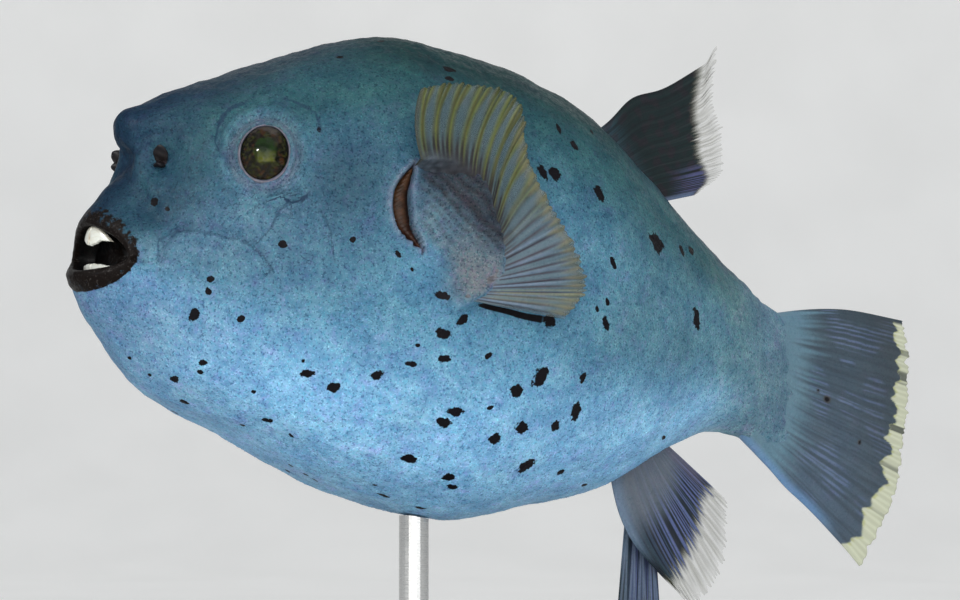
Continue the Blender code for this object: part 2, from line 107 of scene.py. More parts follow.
# Places on the skin are (along, degrees up from the flank); the eye's oval is its breadth over its height
EYE_PLACE = (0.163, 27.3)
EYE_RADIUS, EYE_OPENING, EYE_OVAL = 0.0440, 0.0355, 0.89
EYE_HALF_ANGLE = math.asin(EYE_OPENING / EYE_RADIUS)
NOSTRIL_PLACE = (0.0965, 48.5)
# Each nostril flap's two leaves, as how far each reaches out, how far it climbs and its half width; then the
# degrees by which they are twisted, and to which side they are cupped
NOSTRIL_LEAVES = {
    "left": (((0.0145, 0.0225, 0.0092), (0.0185, -0.0010, 0.0068)), 0, 1),
    "right": (((0.0215, 0.0180, 0.0092), (0.0215, -0.0010, 0.0068)), 65, -1),
}
GILL_SLIT = [(0.342, 16.5), (0.330, 9.0), (0.336, 3.5), (0.361, 0.0)]

# Each fin's root line and margin, from its leading edge to its last ray. The anal fin is two layers, each
# with its number of rays and the thickness of its fleshy root
DORSAL_ROOT = [(0.668, 0, 0.260), (0.720, 0, 0.222), (0.775, 0, 0.190)]
DORSAL_MARGIN = [
    (0.880, 0.020, 0.415), (0.872, 0.014, 0.350), (0.884, 0.004, 0.300), (0.884, -0.004, 0.258),
    (0.842, -0.008, 0.214),
]
ANAL_LAYERS = (
    ([(0.748, -0.002, -0.150), (0.785, -0.002, -0.125), (0.815, 0, -0.105)],
     [(0.860, -0.012, -0.300), (0.888, -0.020, -0.322), (0.922, -0.016, -0.290), (0.948, 0.0, -0.232),
      (0.946, 0.006, -0.178)], 9, 0.026),
    ([(0.786, 0.006, -0.125), (0.800, 0.006, -0.115), (0.812, 0.006, -0.110)],
     [(0.806, 0.030, -0.368), (0.832, 0.022, -0.372), (0.860, 0.008, -0.352)], 4, 0.012),
)
CAUDAL_BASE = np.array((0.095, 0.175, 0.225))
# Gaps in the tail fin's pale margin (share across, half width, strength) and its spots (across, out, size)
CAUDAL_GAPS = (
    (0.165, 0.010, 0.6), (0.275, 0.026, 0.9), (0.49, 0.016, 0.9), (0.655, 0.009, 0.6), (0.83, 0.008, 0.5),
)
CAUDAL_SPOTS = ((0.47, 0.50, 0.017), (0.44, 0.44, 0.008), (0.62, 0.72, 0.009))
CAUDAL_ROOT = [
    (0.960, 0, 0.070), (0.950, 0, 0.036), (0.945, 0, -0.010), (0.938, 0, -0.050), (0.930, 0, -0.078),
]
CAUDAL_MARGIN = [
    (1.233, 0.004, 0.106), (1.247, 0.000, 0.050), (1.249, -0.006, -0.020), (1.246, -0.006, -0.085),
    (1.229, 0.000, -0.160), (1.193, 0.008, -0.243),
]
# The pectoral fin's lobe runs from its hinge in the flank to its wrist, and its rays from there to the margin
PECTORAL_HINGE = [(0.350, 0.170, 0.146), (0.366, 0.170, 0.100), (0.384, 0.170, 0.040), (0.408, 0.170, -0.004)]
PECTORAL_WRIST = [
    (0.338, 0.218, 0.150), (0.372, 0.222, 0.155), (0.410, 0.226, 0.138), (0.434, 0.228, 0.106),
    (0.446, 0.230, 0.070), (0.446, 0.232, 0.036), (0.432, 0.228, 0.010), (0.411, 0.220, -0.006),
]
PECTORAL_MARGIN = [
    (0.314, 0.250, 0.226), (0.355, 0.262, 0.238), (0.405, 0.268, 0.240), (0.436, 0.268, 0.226),
    (0.452, 0.266, 0.170), (0.488, 0.268, 0.116), (0.524, 0.272, 0.068), (0.541, 0.272, 0.024),
    (0.524, 0.262, -0.016),
]

# Folds of the skin, the same on both sides: the path of each as (along, degrees up from the flank), its
# half width and its depth
FOLDS = [
    ([(0.148, 53), (0.139, 45), (0.134, 37), (0.137, 30)], 0.0040, 0.0045),
    ([(0.155, 11), (0.167, 13), (0.187, 9), (0.213, 6)], 0.0040, 0.0040),
    ([(0.160, 9), (0.176, 6), (0.196, 3)], 0.0032, 0.0028),
    ([(0.120, 7), (0.095, 15), (0.073, 18), (0.058, 13), (0.053, -5), (0.062, -24)], 0.0050, 0.0042),
    ([(0.120, 7), (0.148, 0), (0.168, -5), (0.186, -14)], 0.0040, 0.0028),
    ([(0.112, 56), (0.104, 60), (0.089, 63), (0.075, 72), (0.070, 84)], 0.0120, 0.0060),
    ([(0.112, 57), (0.101, 61), (0.086, 65), (0.074, 74)], 0.0034, 0.0030),
    ([(0.022, -2), (0.034, -5), (0.045, -6)], 0.0030, 0.0035),
    ([(0.209, 47), (0.224, 38), (0.226, 29)], 0.0040, 0.0022),
    ([(0.195, 31), (0.198, 22), (0.188, 15)], 0.0040, 0.0025),
]

# Fine lines of the skin, the same on both sides: the path of each as (along, degrees up from the flank), its
# half width at its start and at its end, how deep a blue shade it lays, and how much black pigment
LINES = [
    ([(0.400, -5), (0.416, -6), (0.430, -6.8), (0.450, -7.2), (0.475, -7.3), (0.500, -7.8), (0.526, -8)],
     0.0018, 0.0044, 0, 1),
    ([(0.158, 10), (0.174, 9.5), (0.190, 7.5), (0.202, 7.5), (0.214, 9)], 0.0018, 0.0040, 0.85, 0),
    ([(0.188, 7.5), (0.174, 5), (0.168, 2), (0.156, 0), (0.148, -3)], 0.0026, 0.0012, 0.45, 0),
    ([(0.170, 12), (0.184, 11), (0.198, 10)], 0.0018, 0.0016, 0.4, 0),
    ([(0.049, -6), (0.052, 6), (0.053, 16), (0.070, 18), (0.100, 11), (0.136, 1)], 0.0014, 0.0024, 0.35, 0),
    ([(0.132, 2), (0.150, -1), (0.166, -4), (0.180, -8)], 0.0026, 0.0016, 0.5, 0),
    ([(0.224, 5), (0.236, 2.5), (0.246, 0), (0.256, -4)], 0.0018, 0.0014, 0.35, 0),
    ([(0.132, 36), (0.134, 42), (0.142, 49), (0.154, 54), (0.167, 55)], 0.0018, 0.0034, 0.6, 0),
    ([(0.190, 49), (0.208, 41), (0.220, 34), (0.226, 27)], 0.0022, 0.0026, 0.5, 0),
    ([(0.094, 71), (0.107, 70), (0.120, 70), (0.134, 68)], 0.0018, 0.0016, 0.5, 0),
    ([(0.086, 62), (0.096, 58), (0.105, 60), (0.113, 57)], 0.0020, 0.0026, 0.6, 0),
]

# How fine the rings round the eye, the hatching of the pectoral fin's lobe and the wrinkles of the tail stalk
# are, in radians per standard length; and a place on the lobe's upper edge and the way across it, (back, up)
ORBIT_FINENESS, HATCH_FINENESS, WRINKLE_FINENESS = 1050, 560, 420
LOBE_EDGE, LOBE_WAY = (0.345, 0.152), (0.63, 0.777)

# Swellings and dents of the face, the same on both sides: the middle, the radius and the height of each
SWELLS = [
    ((0.050, 0.000, 0.195), 0.030, -0.004), ((0.030, 0.000, 0.078), 0.026, 0.010),
    ((0.048, 0.050, 0.088), 0.022, 0.006), ((0.100, 0.085, 0.180), 0.030, 0.003),
    ((0.031, 0.000, 0.119), 0.018, -0.014),
]

# The black spots of the left side: (along, degrees up from the flank, length in thousandths of the standard
# length, slenderness, degrees by which the tail end of the long way is tilted up)
LEFT_SPOTS = [
    (0.109, -32, 15, 1.6, 100), (0.110, -13, 9, 1.5, 20), (0.112, -19, 8, 1.3, -35),
    (0.155, -25, 10, 1.6, 20), (0.143, -50, 10, 1.6, 55), (0.147, -55, 7, 1.3, 0),
    (0.136, -67, 11, 1.3, 10), (0.162, -80, 11, 1.6, 10), (0.098, -78, 5, 1.0, 0), (0.119, -76, 5, 1.2, 0),
    (0.217, -75, 7, 1.2, 0), (0.200, -52, 6, 1.4, 0), (0.231, -64, 11, 1.6, 20), (0.264, -66, 8, 1.6, 0),
    (0.238, -32, 4, 1.0, 0), (0.248, -36, 15, 1.8, 15), (0.284, -37, 16, 1.7, 15),
    (0.330, -29, 14, 1.6, 25), (0.186, -1, 12, 1.8, -10), (0.274, 0, 7, 1.2, 0), (0.332, -1, 9, 1.9, -45),
    (0.350, -3, 5, 1.5, -45), (0.370, -19, 5, 1.5, 10), (0.368, -24, 12, 2.2, 5), (0.402, -53, 16, 1.7, -5),
    (0.460, -56, 14, 1.4, 5), (0.473, -60, 13, 1.9, 0), (0.426, -38, 16, 1.5, 20),
    (0.436, -34, 17, 1.9, 20), (0.399, -15, 18, 1.9, 0), (0.406, -21, 14, 2.0, 10),
    (0.390, -7, 17, 2.6, -10), (0.420, -11, 17, 2.1, 45), (0.460, -18, 9, 1.5, 35),
    (0.479, -31, 7, 1.7, 25), (0.499, -40, 15, 1.4, 45), (0.507, -26, 15, 1.3, 40),
    (0.528, -36, 15, 1.2, 35), (0.557, -50, 20, 1.3, 40), (0.535, -22, 23, 1.5, 70),
    (0.575, -36, 12, 1.1, 55), (0.618, -56, 11, 1.4, -40), (0.599, -32, 23, 1.9, 90),
    (0.595, -22, 12, 1.6, 75), (0.679, -68, 8, 1.6, -20), (0.599, -4, 8, 1.8, -60),
    (0.613, -2, 8, 1.7, -55), (0.614, -7, 16, 2.1, -60), (0.617, 8, 14, 2.0, -55),
    (0.596, 26, 20, 1.7, -60), (0.565, 39, 14, 1.4, 100), (0.546, 43, 12, 2.0, 100),
    (0.606, 51, 8, 2.2, 100), (0.512, 25.5, 18, 1.7, -55), (0.530, 26.5, 16, 1.2, -55),
    (0.701, 24, 27, 1.3, -10), (0.758, 30, 12, 1.2, 35), (0.783, 36, 15, 1.6, 35), (0.788, 4, 25, 2.0, -65),
    (0.785, -53, 12, 2.4, -40), (0.403, 54, 14, 1.8, 15), (0.400, 49, 13, 1.8, 10), (0.534, -8, 16, 1.3, 0),
    (0.066, 41, 9, 1.2, 0), (0.073, 31, 6, 1.0, 0), (0.223, 28, 6, 0.8, 0), (0.406, -76, 13, 2.2, 5),
    (0.460, -77, 13, 2.2, 0), (0.298, -86, 7, 1.8, 0), (0.333, -87, 8, 1.8, 0), (0.386, -71, 6, 1.4, 0),
    (0.268, 62, 9, 1.8, 0), (0.330, 70, 8, 1.8, 0),
]
# How much larger the spots are than their measures, along and across, and the square of how far each is felt
LONG_REACH, BROAD_REACH, SPOT_FELT = 1.25, 1.36, 0.0012

# Measures kept on the skin and on its prickles, and the value that stands for a place far from any marking
MARKS = ("line_gap", "crease", "inked", "lip", "scribbled")
FAR = 9.0

# Each half of the coat of prickles: how many; the height, half width and depth of the root of each; and the
# two steps of the golden sequence that strews them
PRICKLES, PRICKLE_HEIGHT, PRICKLE_HALF, PRICKLE_DEPTH = 42000, 0.0011, 0.00050, 0.0004
GOLDEN_STEPS = (0.7548776662, 0.5698402910)

# How far the backdrop is turned to face the camera
VIEW_TURN = math.radians(-26.5)


# ---------------------------------------------------------------- the form of the body


def curve(x, xs, ys):
    """A smooth line through the points (xs, ys) that never overshoots them, read at each x.

    Between two points it is a cubic whose end slopes are weighted harmonic means of the slopes either side.
    """
    xs, ys = np.asarray(xs, float), np.asarray(ys, float)
    steps, rises = np.diff(xs), np.diff(ys) / np.diff(xs)
    slopes = np.zeros(len(xs))
    slopes[0], slopes[-1] = rises[0], rises[-1]
    before, after = 2 * steps[1:] + steps[:-1], steps[1:] + 2 * steps[:-1]
    same_way = rises[:-1] * rises[1:] > 0
    low, high = np.where(same_way, rises[:-1], 1), np.where(same_way, rises[1:], 1)
    slopes[1:-1] = np.where(same_way, (before + after) / (before / low + after / high), 0)
    x = np.clip(x, xs[0], xs[-1])
    i = np.clip(np.searchsorted(xs, x, side="right") - 1, 0, len(xs) - 2)
    h = steps[i]
    t = (x - xs[i]) / h
    start = (1 + 2 * t) * (1 - t) ** 2 * ys[i] + t * (1 - t) ** 2 * h * slopes[i]
    end = t * t * (3 - 2 * t) * ys[i + 1] + t * t * (t - 1) * h * slopes[i + 1]
    return start + end


def ease(x, start, end):
    """From 0 at start to 1 at end, as 3t^2 - 2t^3; start may be the larger of the two."""
    t = np.clip((np.asarray(x, float) - start) / (end - start), 0, 1)
    return t * t * (3 - 2 * t)


def unit(ways):
    """Each way divided by its length."""
    return ways / (np.linalg.norm(ways, axis=-1, keepdims=True) + 1e-12)


def distance(points, middle):
    """How far each place lies from the middle."""
    return np.linalg.norm(points - middle, axis=-1)


def bump(away, width):
    """A rounded hill, exp(-(away / width)^2)."""
    return np.exp(-((away / width) ** 2))


def station(along):
    """The ring's measures at a place along the body, averaged a little either side so they stay fair."""
    along = np.asarray(along, float)
    reach = 0.1 * np.clip(along - FACE, 0, 0.2)
    measures = [along]
    for column in range(1, 9):
        reads = [curve(along + reach * k, STATIONS[:, 0], STATIONS[:, column]) for k in (-1, -0.5, 0, 0.5, 1)]
        measures.append(sum(reads) / len(reads))
    return measures


def ring_point(ring, angle, grow=0.0):
    """A point of a ring: a superellipse whose upper and lower halves have their own height and lead."""
    across, rise = np.cos(angle), np.sin(angle)
    power = 2 / ring[SQUARENESS]
    upper = rise > 0
    pinch = np.where(upper, ring[PINCH], 0) * rise * rise
    side = -(ring[HALF_WIDTH] * (1 - pinch) + grow) * np.sign(across) * np.abs(across) ** power
    height = np.where(upper, ring[BACK] - ring[LEVEL], ring[LEVEL] - ring[BELLY]) + grow
    up = ring[LEVEL] + height * np.sign(rise) * np.abs(rise) ** power
    lead = np.where(upper, ring[BACK_LEAD], ring[BELLY_LEAD]) * rise * rise
    return np.stack(np.broadcast_arrays(ring[ALONG] - lead, side, up), -1)


def hollowed(point):
    """Lets the face in a little round each nostril: depth times exp(-(distance / radius)^2)."""
    hand = np.sign(point[..., 1])
    depth = HOLLOW_DEPTH * bump(distance(mirrored(point), NOSE_HOLLOW), HOLLOW_RADIUS)
    back, out = HOLLOW_WAY
    return point + np.stack([back * depth, out * hand * depth, 0 * depth], -1)


def mirrored(point):
    """Both sides of the fish read as one."""
    return np.stack([point[..., 0], np.abs(point[..., 1]), point[..., 2]], -1)


def skin_point(along, angle):
    """A place on the form just under the coat, on the straight fish."""
    return hollowed(ring_point(station(along), np.asarray(angle, float), -COAT_DEPTH))


def place(points):
    """From the straight fish to its place on the stand, in metres: head turned left, tail swept right."""
    along, side, up = np.moveaxis(np.asarray(points, float), -1, 0)
    ahead, past = np.maximum(HEAD_START - along, 0), np.maximum(along - TAIL_START, 0)
    roll = HEAD_ROLL * np.minimum(ahead / HEAD_START, 1)
    side, up = side * np.cos(roll) - up * np.sin(roll), up * np.cos(roll) + side * np.sin(roll)
    left, right = HEAD_TURN_RATE * ahead, TAIL_TURN_RATE * past
    along = along + ahead - np.sin(left) / HEAD_TURN_RATE - past + np.sin(right) / TAIL_TURN_RATE
    aside = (np.cos(left) - 1) / HEAD_TURN_RATE + (1 - np.cos(right)) / TAIL_TURN_RATE
    along, side = along - np.sin(left + right) * side, aside + np.cos(left + right) * side
    back, up = (along - BALANCE_POINT) * STANDARD_LENGTH, up * STANDARD_LENGTH
    x = back * math.cos(NOSE_UP) + up * math.sin(NOSE_UP)
    z = AXIS_HEIGHT - back * math.sin(NOSE_UP) + up * math.cos(NOSE_UP)
    return np.stack([x, side * STANDARD_LENGTH, z], -1)


def through(points, share):
    """A smooth curve through the points, read at a share of the way, from 0 to 1."""
    points = np.array(points, float)
    knots = np.linspace(0, 1, len(points))
    return np.stack([curve(share, knots, points[:, axis]) for axis in range(3)], -1)


def skin_path(path, count):
    """A path over the skin given as (along, degrees), read at count places, both sides read as one."""
    line = through([(along, degrees, 0) for along, degrees in path], np.linspace(0, 1, count))
    return mirrored(skin_point(line[:, 0], np.radians(line[:, 1])))


def skin_frame(spot, hand):
    """A place on the skin, and the outward, forward and upward directions there; hand is -1 on the left."""
    along, angle, step = spot[0], math.radians(spot[1]), 0.004
    here = skin_point(along, angle)
    outward = np.cross(skin_point(along, angle + step) - here, skin_point(along + step, angle) - here)
    outward *= -np.sign(outward[1]) / np.linalg.norm(outward)
    here, outward = here * (1, -hand, 1), outward * (1, -hand, 1)
    upward = unit(np.array([0, 0, 1]) - outward * outward[2])
    return here, outward, np.cross(outward, upward), upward


def waves(points, size, seed, count=28):
    """Smooth random relief, about -1 to 1: the sum of sine waves of random directions, sizes and starts."""
    rng = np.random.default_rng(seed)
    ways = rng.normal(size=(count, 3))
    ways *= (2 * math.pi / size * rng.uniform(0.6, 1.6, count) / np.linalg.norm(ways, axis=1))[:, None]
    starts = rng.uniform(0, 2 * math.pi, count)
    total = np.zeros(points.shape[:-1])
    for way, start in zip(ways, starts):
        total += np.sin(points @ way + start)
    return total * math.sqrt(2 / count) * 0.6


# ---------------------------------------------------------------- meshes


def grid_faces(rows, columns, around=False):
    """The quads of a grid numbered row by row; around joins its last column to its first."""
    row = np.arange(rows - 1)[:, None] * columns
    column = np.arange(columns if around else columns - 1)[None, :]
    after = (column + 1) % columns
    corners = [row + column, row + columns + column, row + columns + after, row + after]
    return np.stack(np.broadcast_arrays(*corners), -1).reshape(-1, 4)


def fan_faces(ring, tip):
    """Triangles from each pair of neighbours of a closed ring to its tip."""
    return np.stack([ring, np.roll(ring, -1), np.full(len(ring), tip)], -1)


def round_grid(shares, columns):
    """The shares down a tube and the turns round it, each given at every place of the tube's grid."""
    turns = np.arange(columns) * 2 * math.pi / columns
    return np.broadcast_arrays(np.asarray(shares)[:, None], turns[None, :])


def tube_faces(rows, columns, first=False, last=False):
    """The quads round a tube, then a fan at either end to a point numbered after the tube's points."""
    faces, tip = [grid_faces(rows, columns, around=True)], rows * columns
    if first:
        faces.append(fan_faces(np.arange(columns), tip)[:, ::-1])
    if last:
        faces.append(fan_faces(np.arange(columns) + (rows - 1) * columns, tip + int(first)))
    return faces


def turned_faces(faces, turn):
    """The faces, turned round where turn says so."""
    return [part[:, ::-1] if turn else part for part in faces]


def outward_faces(points, faces):
    """The faces, all turned round if together they enclose a negative volume."""
    volume = 0.0
    for part in faces:
        for k in range(1, part.shape[1] - 1):
            a, b, c = points[part[:, 0]], points[part[:, k]], points[part[:, k + 1]]
            volume += (a * np.cross(b, c)).sum()
    return turned_faces(faces, volume <= 0)


def add_piece(name, points, faces, material, nodes=(), colour=None, numbers=None, maps=None):
    """Makes the mesh from arrays: faces is a list of arrays of quads or triangles. It rides on the body."""
    mesh = bpy.data.meshes.new(name)
    corners = np.concatenate([part.reshape(-1) for part in faces]).astype(np.int32)
    sizes = np.concatenate([np.full(len(part), part.shape[1]) for part in faces])
    mesh.vertices.add(len(points))
    mesh.vertices.foreach_set("co", np.ascontiguousarray(points, np.float32).reshape(-1))
    mesh.loops.add(len(corners))
    mesh.loops.foreach_set("vertex_index", corners)
    mesh.polygons.add(len(sizes))
    mesh.polygons.foreach_set("loop_start", (np.cumsum(sizes) - sizes).astype(np.int32))
    mesh.update(calc_edges=True)
    for label, values in (maps or {}).items():
        layer = mesh.uv_layers.new(name=label)
        layer.data.foreach_set("uv", np.ascontiguousarray(values, np.float32).reshape(-1))
    if colour is not None:
        layer = mesh.attributes.new("pigment", "FLOAT_COLOR", "POINT")
        rgba = np.concatenate([colour, np.ones((len(colour), 1))], 1).astype(np.float32)
        layer.data.foreach_set("color", rgba.reshape(-1))
    for label, values in (numbers or {}).items():
        layer = mesh.attributes.new(label, "FLOAT", "POINT")
        layer.data.foreach_set("value", np.ascontiguousarray(values, np.float32).reshape(-1))
    mesh.shade_smooth()
    mesh.materials.append(material)
    item = bpy.data.objects.new(name, mesh)
    bpy.context.scene.collection.objects.link(item)
    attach(item, "root")
    if nodes:
        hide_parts(*nodes)


# ---------------------------------------------------------------- materials


class Finish:
    """A material written as calls: each call adds a node and gives back its output."""

    def __init__(self, name, **surface):
        self.material = bpy.data.materials.new(name)
        self.material.use_nodes = True
        self.tree = self.material.node_tree
        self.surface = self.tree.nodes["Principled BSDF"]
        for label, value in surface.items():
            self.surface.inputs[label.replace("_", " ").title().replace("Ior", "IOR")].default_value = value

    def node(self, kind, inputs=(), output=0, **settings):
        """Adds a node with its settings, fills its inputs and gives back one of its outputs."""
        made = self.tree.nodes.new(kind)
        for label, value in settings.items():
            setattr(made, label, value)
        for socket, value in dict(inputs).items():
            self.wire(value, made.inputs[socket])
        return made.outputs[output]

    def wire(self, value, socket):
        """Links an output to a socket, or sets the socket to a plain value."""
        if isinstance(value, bpy.types.NodeSocket):
            self.tree.links.new(value, socket)
        elif isinstance(value, tuple) and len(value) == 3 and socket.type == "RGBA":
            socket.default_value = (*value, 1)
        else:
            socket.default_value = value

    def set(self, **sockets):
        """Wires values to the surface's own sockets."""
        for label, value in sockets.items():
            self.wire(value, self.surface.inputs[label.replace("_", " ").title()])

    def where(self):
        """Each place, in metres."""
        return self.node("ShaderNodeTexCoord", output="Object")

    def stretched(self, scale):
        """Each place with its three measures scaled, so that a pattern is drawn out the way of the least."""
        return self.node("ShaderNodeMapping", {"Vector": self.where(), "Scale": scale})

    def attribute(self, name, output="Fac"):
        """A measure kept on the mesh, or a colour."""
        return self.node("ShaderNodeAttribute", output=output, attribute_name=name)

    def spread(self, uv_map):
        """How far a place lies from the middle of its own map."""
        inputs = {0: self.node("ShaderNodeUVMap", uv_map=uv_map)}
        return self.node("ShaderNodeVectorMath", inputs, 1, operation="LENGTH")

    def noise(self, scale, detail=2.0, roughness=0.5, vector=None):
        """Cloudy noise, 0 to 1, of a fineness."""
        inputs = {"Vector": vector or self.where(), "Scale": scale, "Detail": detail, "Roughness": roughness}
        return self.node("ShaderNodeTexNoise", inputs)

    def math(self, operation, a, b=0.0):
        """A sum, a difference, a product or the like of two values."""
        return self.node("ShaderNodeMath", {0: a, 1: b}, operation=operation)

    def ramp(self, value, low, high, start=0.0, end=1.0):
        """From start to end as the value goes from low to high, eased as 3t^2 - 2t^3."""
        inputs = {"Value": value, "From Min": low, "From Max": high, "To Min": start, "To Max": end}
        return self.node("ShaderNodeMapRange", inputs, interpolation_type="SMOOTHSTEP")

    def cloud(self, scale, low, high, start=0.0, end=1.0, detail=2.0, roughness=0.5):
        """Noise of a fineness, eased from start to end as it goes from low to high."""
        return self.ramp(self.noise(scale, detail, roughness), low, high, start, end)

    def frayed(self, value, noise, amount):
        """The value moved up and down by the noise, so that its edges turn ragged."""
        return self.math("ADD", value, self.ramp(noise, *RAGGED_SPAN, -amount, amount))

    def mix(self, share, a, b, blend="MIX"):
        """The colour a moved by a share towards b, or towards a blend of the two."""
        inputs = {0: share, 6: a, 7: b}
        return self.node("ShaderNodeMix", inputs, output=2, data_type="RGBA", blend_type=blend)

    def times(self, tone, tint):
        """Each part of the tone times the tint's."""
        return self.mix(1.0, tone, tint, "MULTIPLY")

    def mottled(self, tone, amount=1.0):
        """Cloudy patches, violet and teal blushes, dark specks and pale glints, from the largest down."""
        for scale, low, high, share, tint in MOTTLING:
            tone = self.mix(self.cloud(scale, low, high, 0.0, share * amount), tone, self.times(tone, tint))
        return tone

    def relief(self, height, strength, distance, below=None):
        """The surface's normal tilted as if it had this height; below is a relief under it."""
        inputs = {"Strength": strength, "Distance": distance, "Height": height}
        if below is not None:
            inputs["Normal"] = below
        return self.node("ShaderNodeBump", inputs)


BLACK = (0.0045, 0.0040, 0.0055)
CREASE_SHADE = (0.010, 0.022, 0.050)
RAGGED_SPAN = (0.25, 0.75)

# Layers of mottling: the fineness of each, the noise where it starts and is full, its share and its tint
MOTTLING = (
    (95.0, 0.35, 0.65, 1.0, (0.80, 0.84, 0.90)), (130.0, 0.35, 0.65, 1.0, (1.24, 1.17, 1.10)),
    (240.0, 0.54, 0.72, 0.35, (1.45, 0.86, 1.14)), (400.0, 0.42, 0.62, 0.65, (0.74, 0.80, 0.85)),
    (450.0, 0.46, 0.64, 0.50, (1.28, 1.20, 1.13)), (620.0, 0.52, 0.68, 0.40, (0.42, 0.52, 0.64)),
    (1050.0, 0.52, 0.64, 0.30, (1.40, 0.80, 1.15)), (1350.0, 0.52, 0.64, 0.50, (0.55, 1.02, 1.00)),
    (1700.0, 0.55, 0.66, 0.70, (0.26, 0.32, 0.42)), (2300.0, 0.57, 0.68, 0.60, (1.9, 1.75, 1.6)),
)


def skin_finish(name, coat=False):
    """Blue-grey skin: the body's own tones, cloudy and finely speckled, with ragged black spots and lips.

    Each marking ends where a measure kept on the mesh, frayed by one noise, passes its edge.
    """
    f = Finish(name, roughness=0.5, specular_ior_level=0.06)
    ragged = f.noise(520.0, 3.0, 0.65)
    spot = f.ramp(f.frayed(f.spread("spots"), ragged, 0.32), 1.0, 0.84)
    gap = f.math("ABSOLUTE", f.attribute("line_gap"))
    crease = f.math("MULTIPLY", f.ramp(f.frayed(gap, ragged, 0.60), 1.30, 0.50), f.attribute("crease"))
    ink = f.math("MULTIPLY", f.ramp(gap, 1.15, 0.90), f.attribute("inked"))
    scribble = f.math("ABSOLUTE", f.math("SUBTRACT", f.noise(230.0, 3.0, 0.6), 0.5))
    scribble = f.math("MULTIPLY", f.ramp(scribble, 0.015, 0.002), f.cloud(150.0, 0.54, 0.62, 0.0, 0.6))
    scribble = f.math("MULTIPLY", scribble, f.attribute("scribbled"))
    tone = f.mottled(f.attribute("pigment", "Color"))
    # The creases' blue is painted shade; the spots and inked lines are black pigment
    layers = ((spot, BLACK), (crease, CREASE_SHADE), (ink, BLACK), (scribble, (0.016, 0.034, 0.066)))
    for share, colour in layers:
        tone = f.mix(share, tone, colour)
    lip = f.ramp(f.frayed(f.attribute("lip"), ragged, 0.42), 0.3, 0.7)
    lip_tone = f.mix(f.cloud(760.0, 0.5, 0.75, 0.0, 0.4), (0.0045, 0.0028, 0.0022), (0.011, 0.007, 0.006))
    # Pale specks on the lips: painted glints, standing in for tiny highlights
    lip_tone = f.mix(f.cloud(1900.0, 0.60, 0.70, 0.0, 0.6), lip_tone, (0.050, 0.045, 0.042))
    rough = f.math("SUBTRACT", f.cloud(900.0, 0.3, 0.7, 0.40, 0.62), f.math("MULTIPLY", lip, 0.04))
    f.set(base_color=f.mix(lip, tone, lip_tone), roughness=rough)
    if not coat:
        grain = f.relief(f.noise(1500.0, 2.0, 0.6), 0.45, 0.0003)
        f.set(normal=f.relief(f.noise(330.0, 3.0, 0.55), 0.25, 0.0006, grain))
    return f.material


def tissue_finish(name, gloss=0.45, speckle=0.35, grain=0.25):
    """Fins and other thin flesh: its own tones, speckled except where plain; film is how solid it is."""
    f = Finish(name, roughness=gloss, specular_ior_level=0.15)
    pigment = f.attribute("pigment", "Color")
    tone = f.mix(f.attribute("plain"), f.mottled(pigment, speckle), pigment)
    normal = f.relief(f.noise(1200.0, 2.0, 0.6), grain, 0.0002)
    f.set(base_color=tone, alpha=f.attribute("film"), normal=normal)
    return f.material


def beak_finish():
    """Ivory beak plates with faint growth lines along the bite."""
    f = Finish("beak_plate", roughness=0.28, specular_ior_level=0.5, coat_weight=0.3, coat_roughness=0.12)
    tone = f.attribute("pigment", "Color")
    lines = f.noise(420.0, 2.0, 0.5, f.stretched((1.0, 1.0, 6.0)))
    tone = f.mix(f.ramp(lines, 0.4, 0.7, 0.0, 0.4), tone, f.times(tone, (0.86, 0.80, 0.68)))
    f.set(base_color=tone, normal=f.relief(f.noise(900.0, 3.0), 0.25, 0.0002))
    return f.material


def eyeball_finish():
    """Dark brown iris with rusty and olive flecks, round a pupil that is olive green below and darker above.

    The pupil's olive green, brightest below, is a painted reflection.
    The map is centred on the pupil, and 1 is the rim of the opening.
    """
    f = Finish("eyeball", roughness=0.5, specular_ior_level=0.04)
    higher = f.node("ShaderNodeSeparateXYZ", {0: f.node("ShaderNodeUVMap", uv_map="iris")}, 1)
    rust = f.mix(f.cloud(520.0, 0.45, 0.60), (0.028, 0.032, 0.005), (0.042, 0.016, 0.005))
    iris = f.mix(f.cloud(1150.0, 0.47, 0.62, detail=3.0, roughness=0.7), (0.0015, 0.0015, 0.0008), rust)
    # The pupil's olive green, brighter below, is a painted reflection
    lower = f.ramp(f.math("ADD", higher, f.cloud(900.0, 0.3, 0.7, -0.08, 0.08)), 0.06, -0.30)
    pupil = f.mix(lower, (0.010, 0.030, 0.005), (0.100, 0.112, 0.006))
    flecks = f.cloud(1150.0, 0.44, 0.60, detail=3.0, roughness=0.6)
    pupil = f.mix(flecks, f.times(pupil, (0.30, 0.34, 0.4)), pupil)
    edge = f.math("ADD", f.spread("iris"), f.cloud(700.0, 0.3, 0.7, -0.06, 0.06))
    tone = f.mix(f.ramp(edge, 0.56, 0.40), iris, pupil)
    tone = f.mix(f.ramp(f.spread("iris"), 0.90, 1.0, 0.0, 0.8), tone, (0.005, 0.004, 0.004))
    # A pale pinkish haze over the top of the eye: a painted reflection
    top_reflection = f.math("ADD", higher, f.cloud(420.0, 0.3, 0.7, -0.22, 0.22, detail=3.0))
    f.set(base_color=f.mix(f.ramp(top_reflection, 0.55, 0.90, 0.0, 0.50), tone, (0.100, 0.085, 0.078)))
    return f.material


def cornea_finish():
    """Clear wet film over the eye."""
    dark = (0.01, 0.008, 0.007, 1)
    return Finish("cornea", base_color=dark, roughness=0.08, specular_ior_level=1.0, alpha=0.10).material


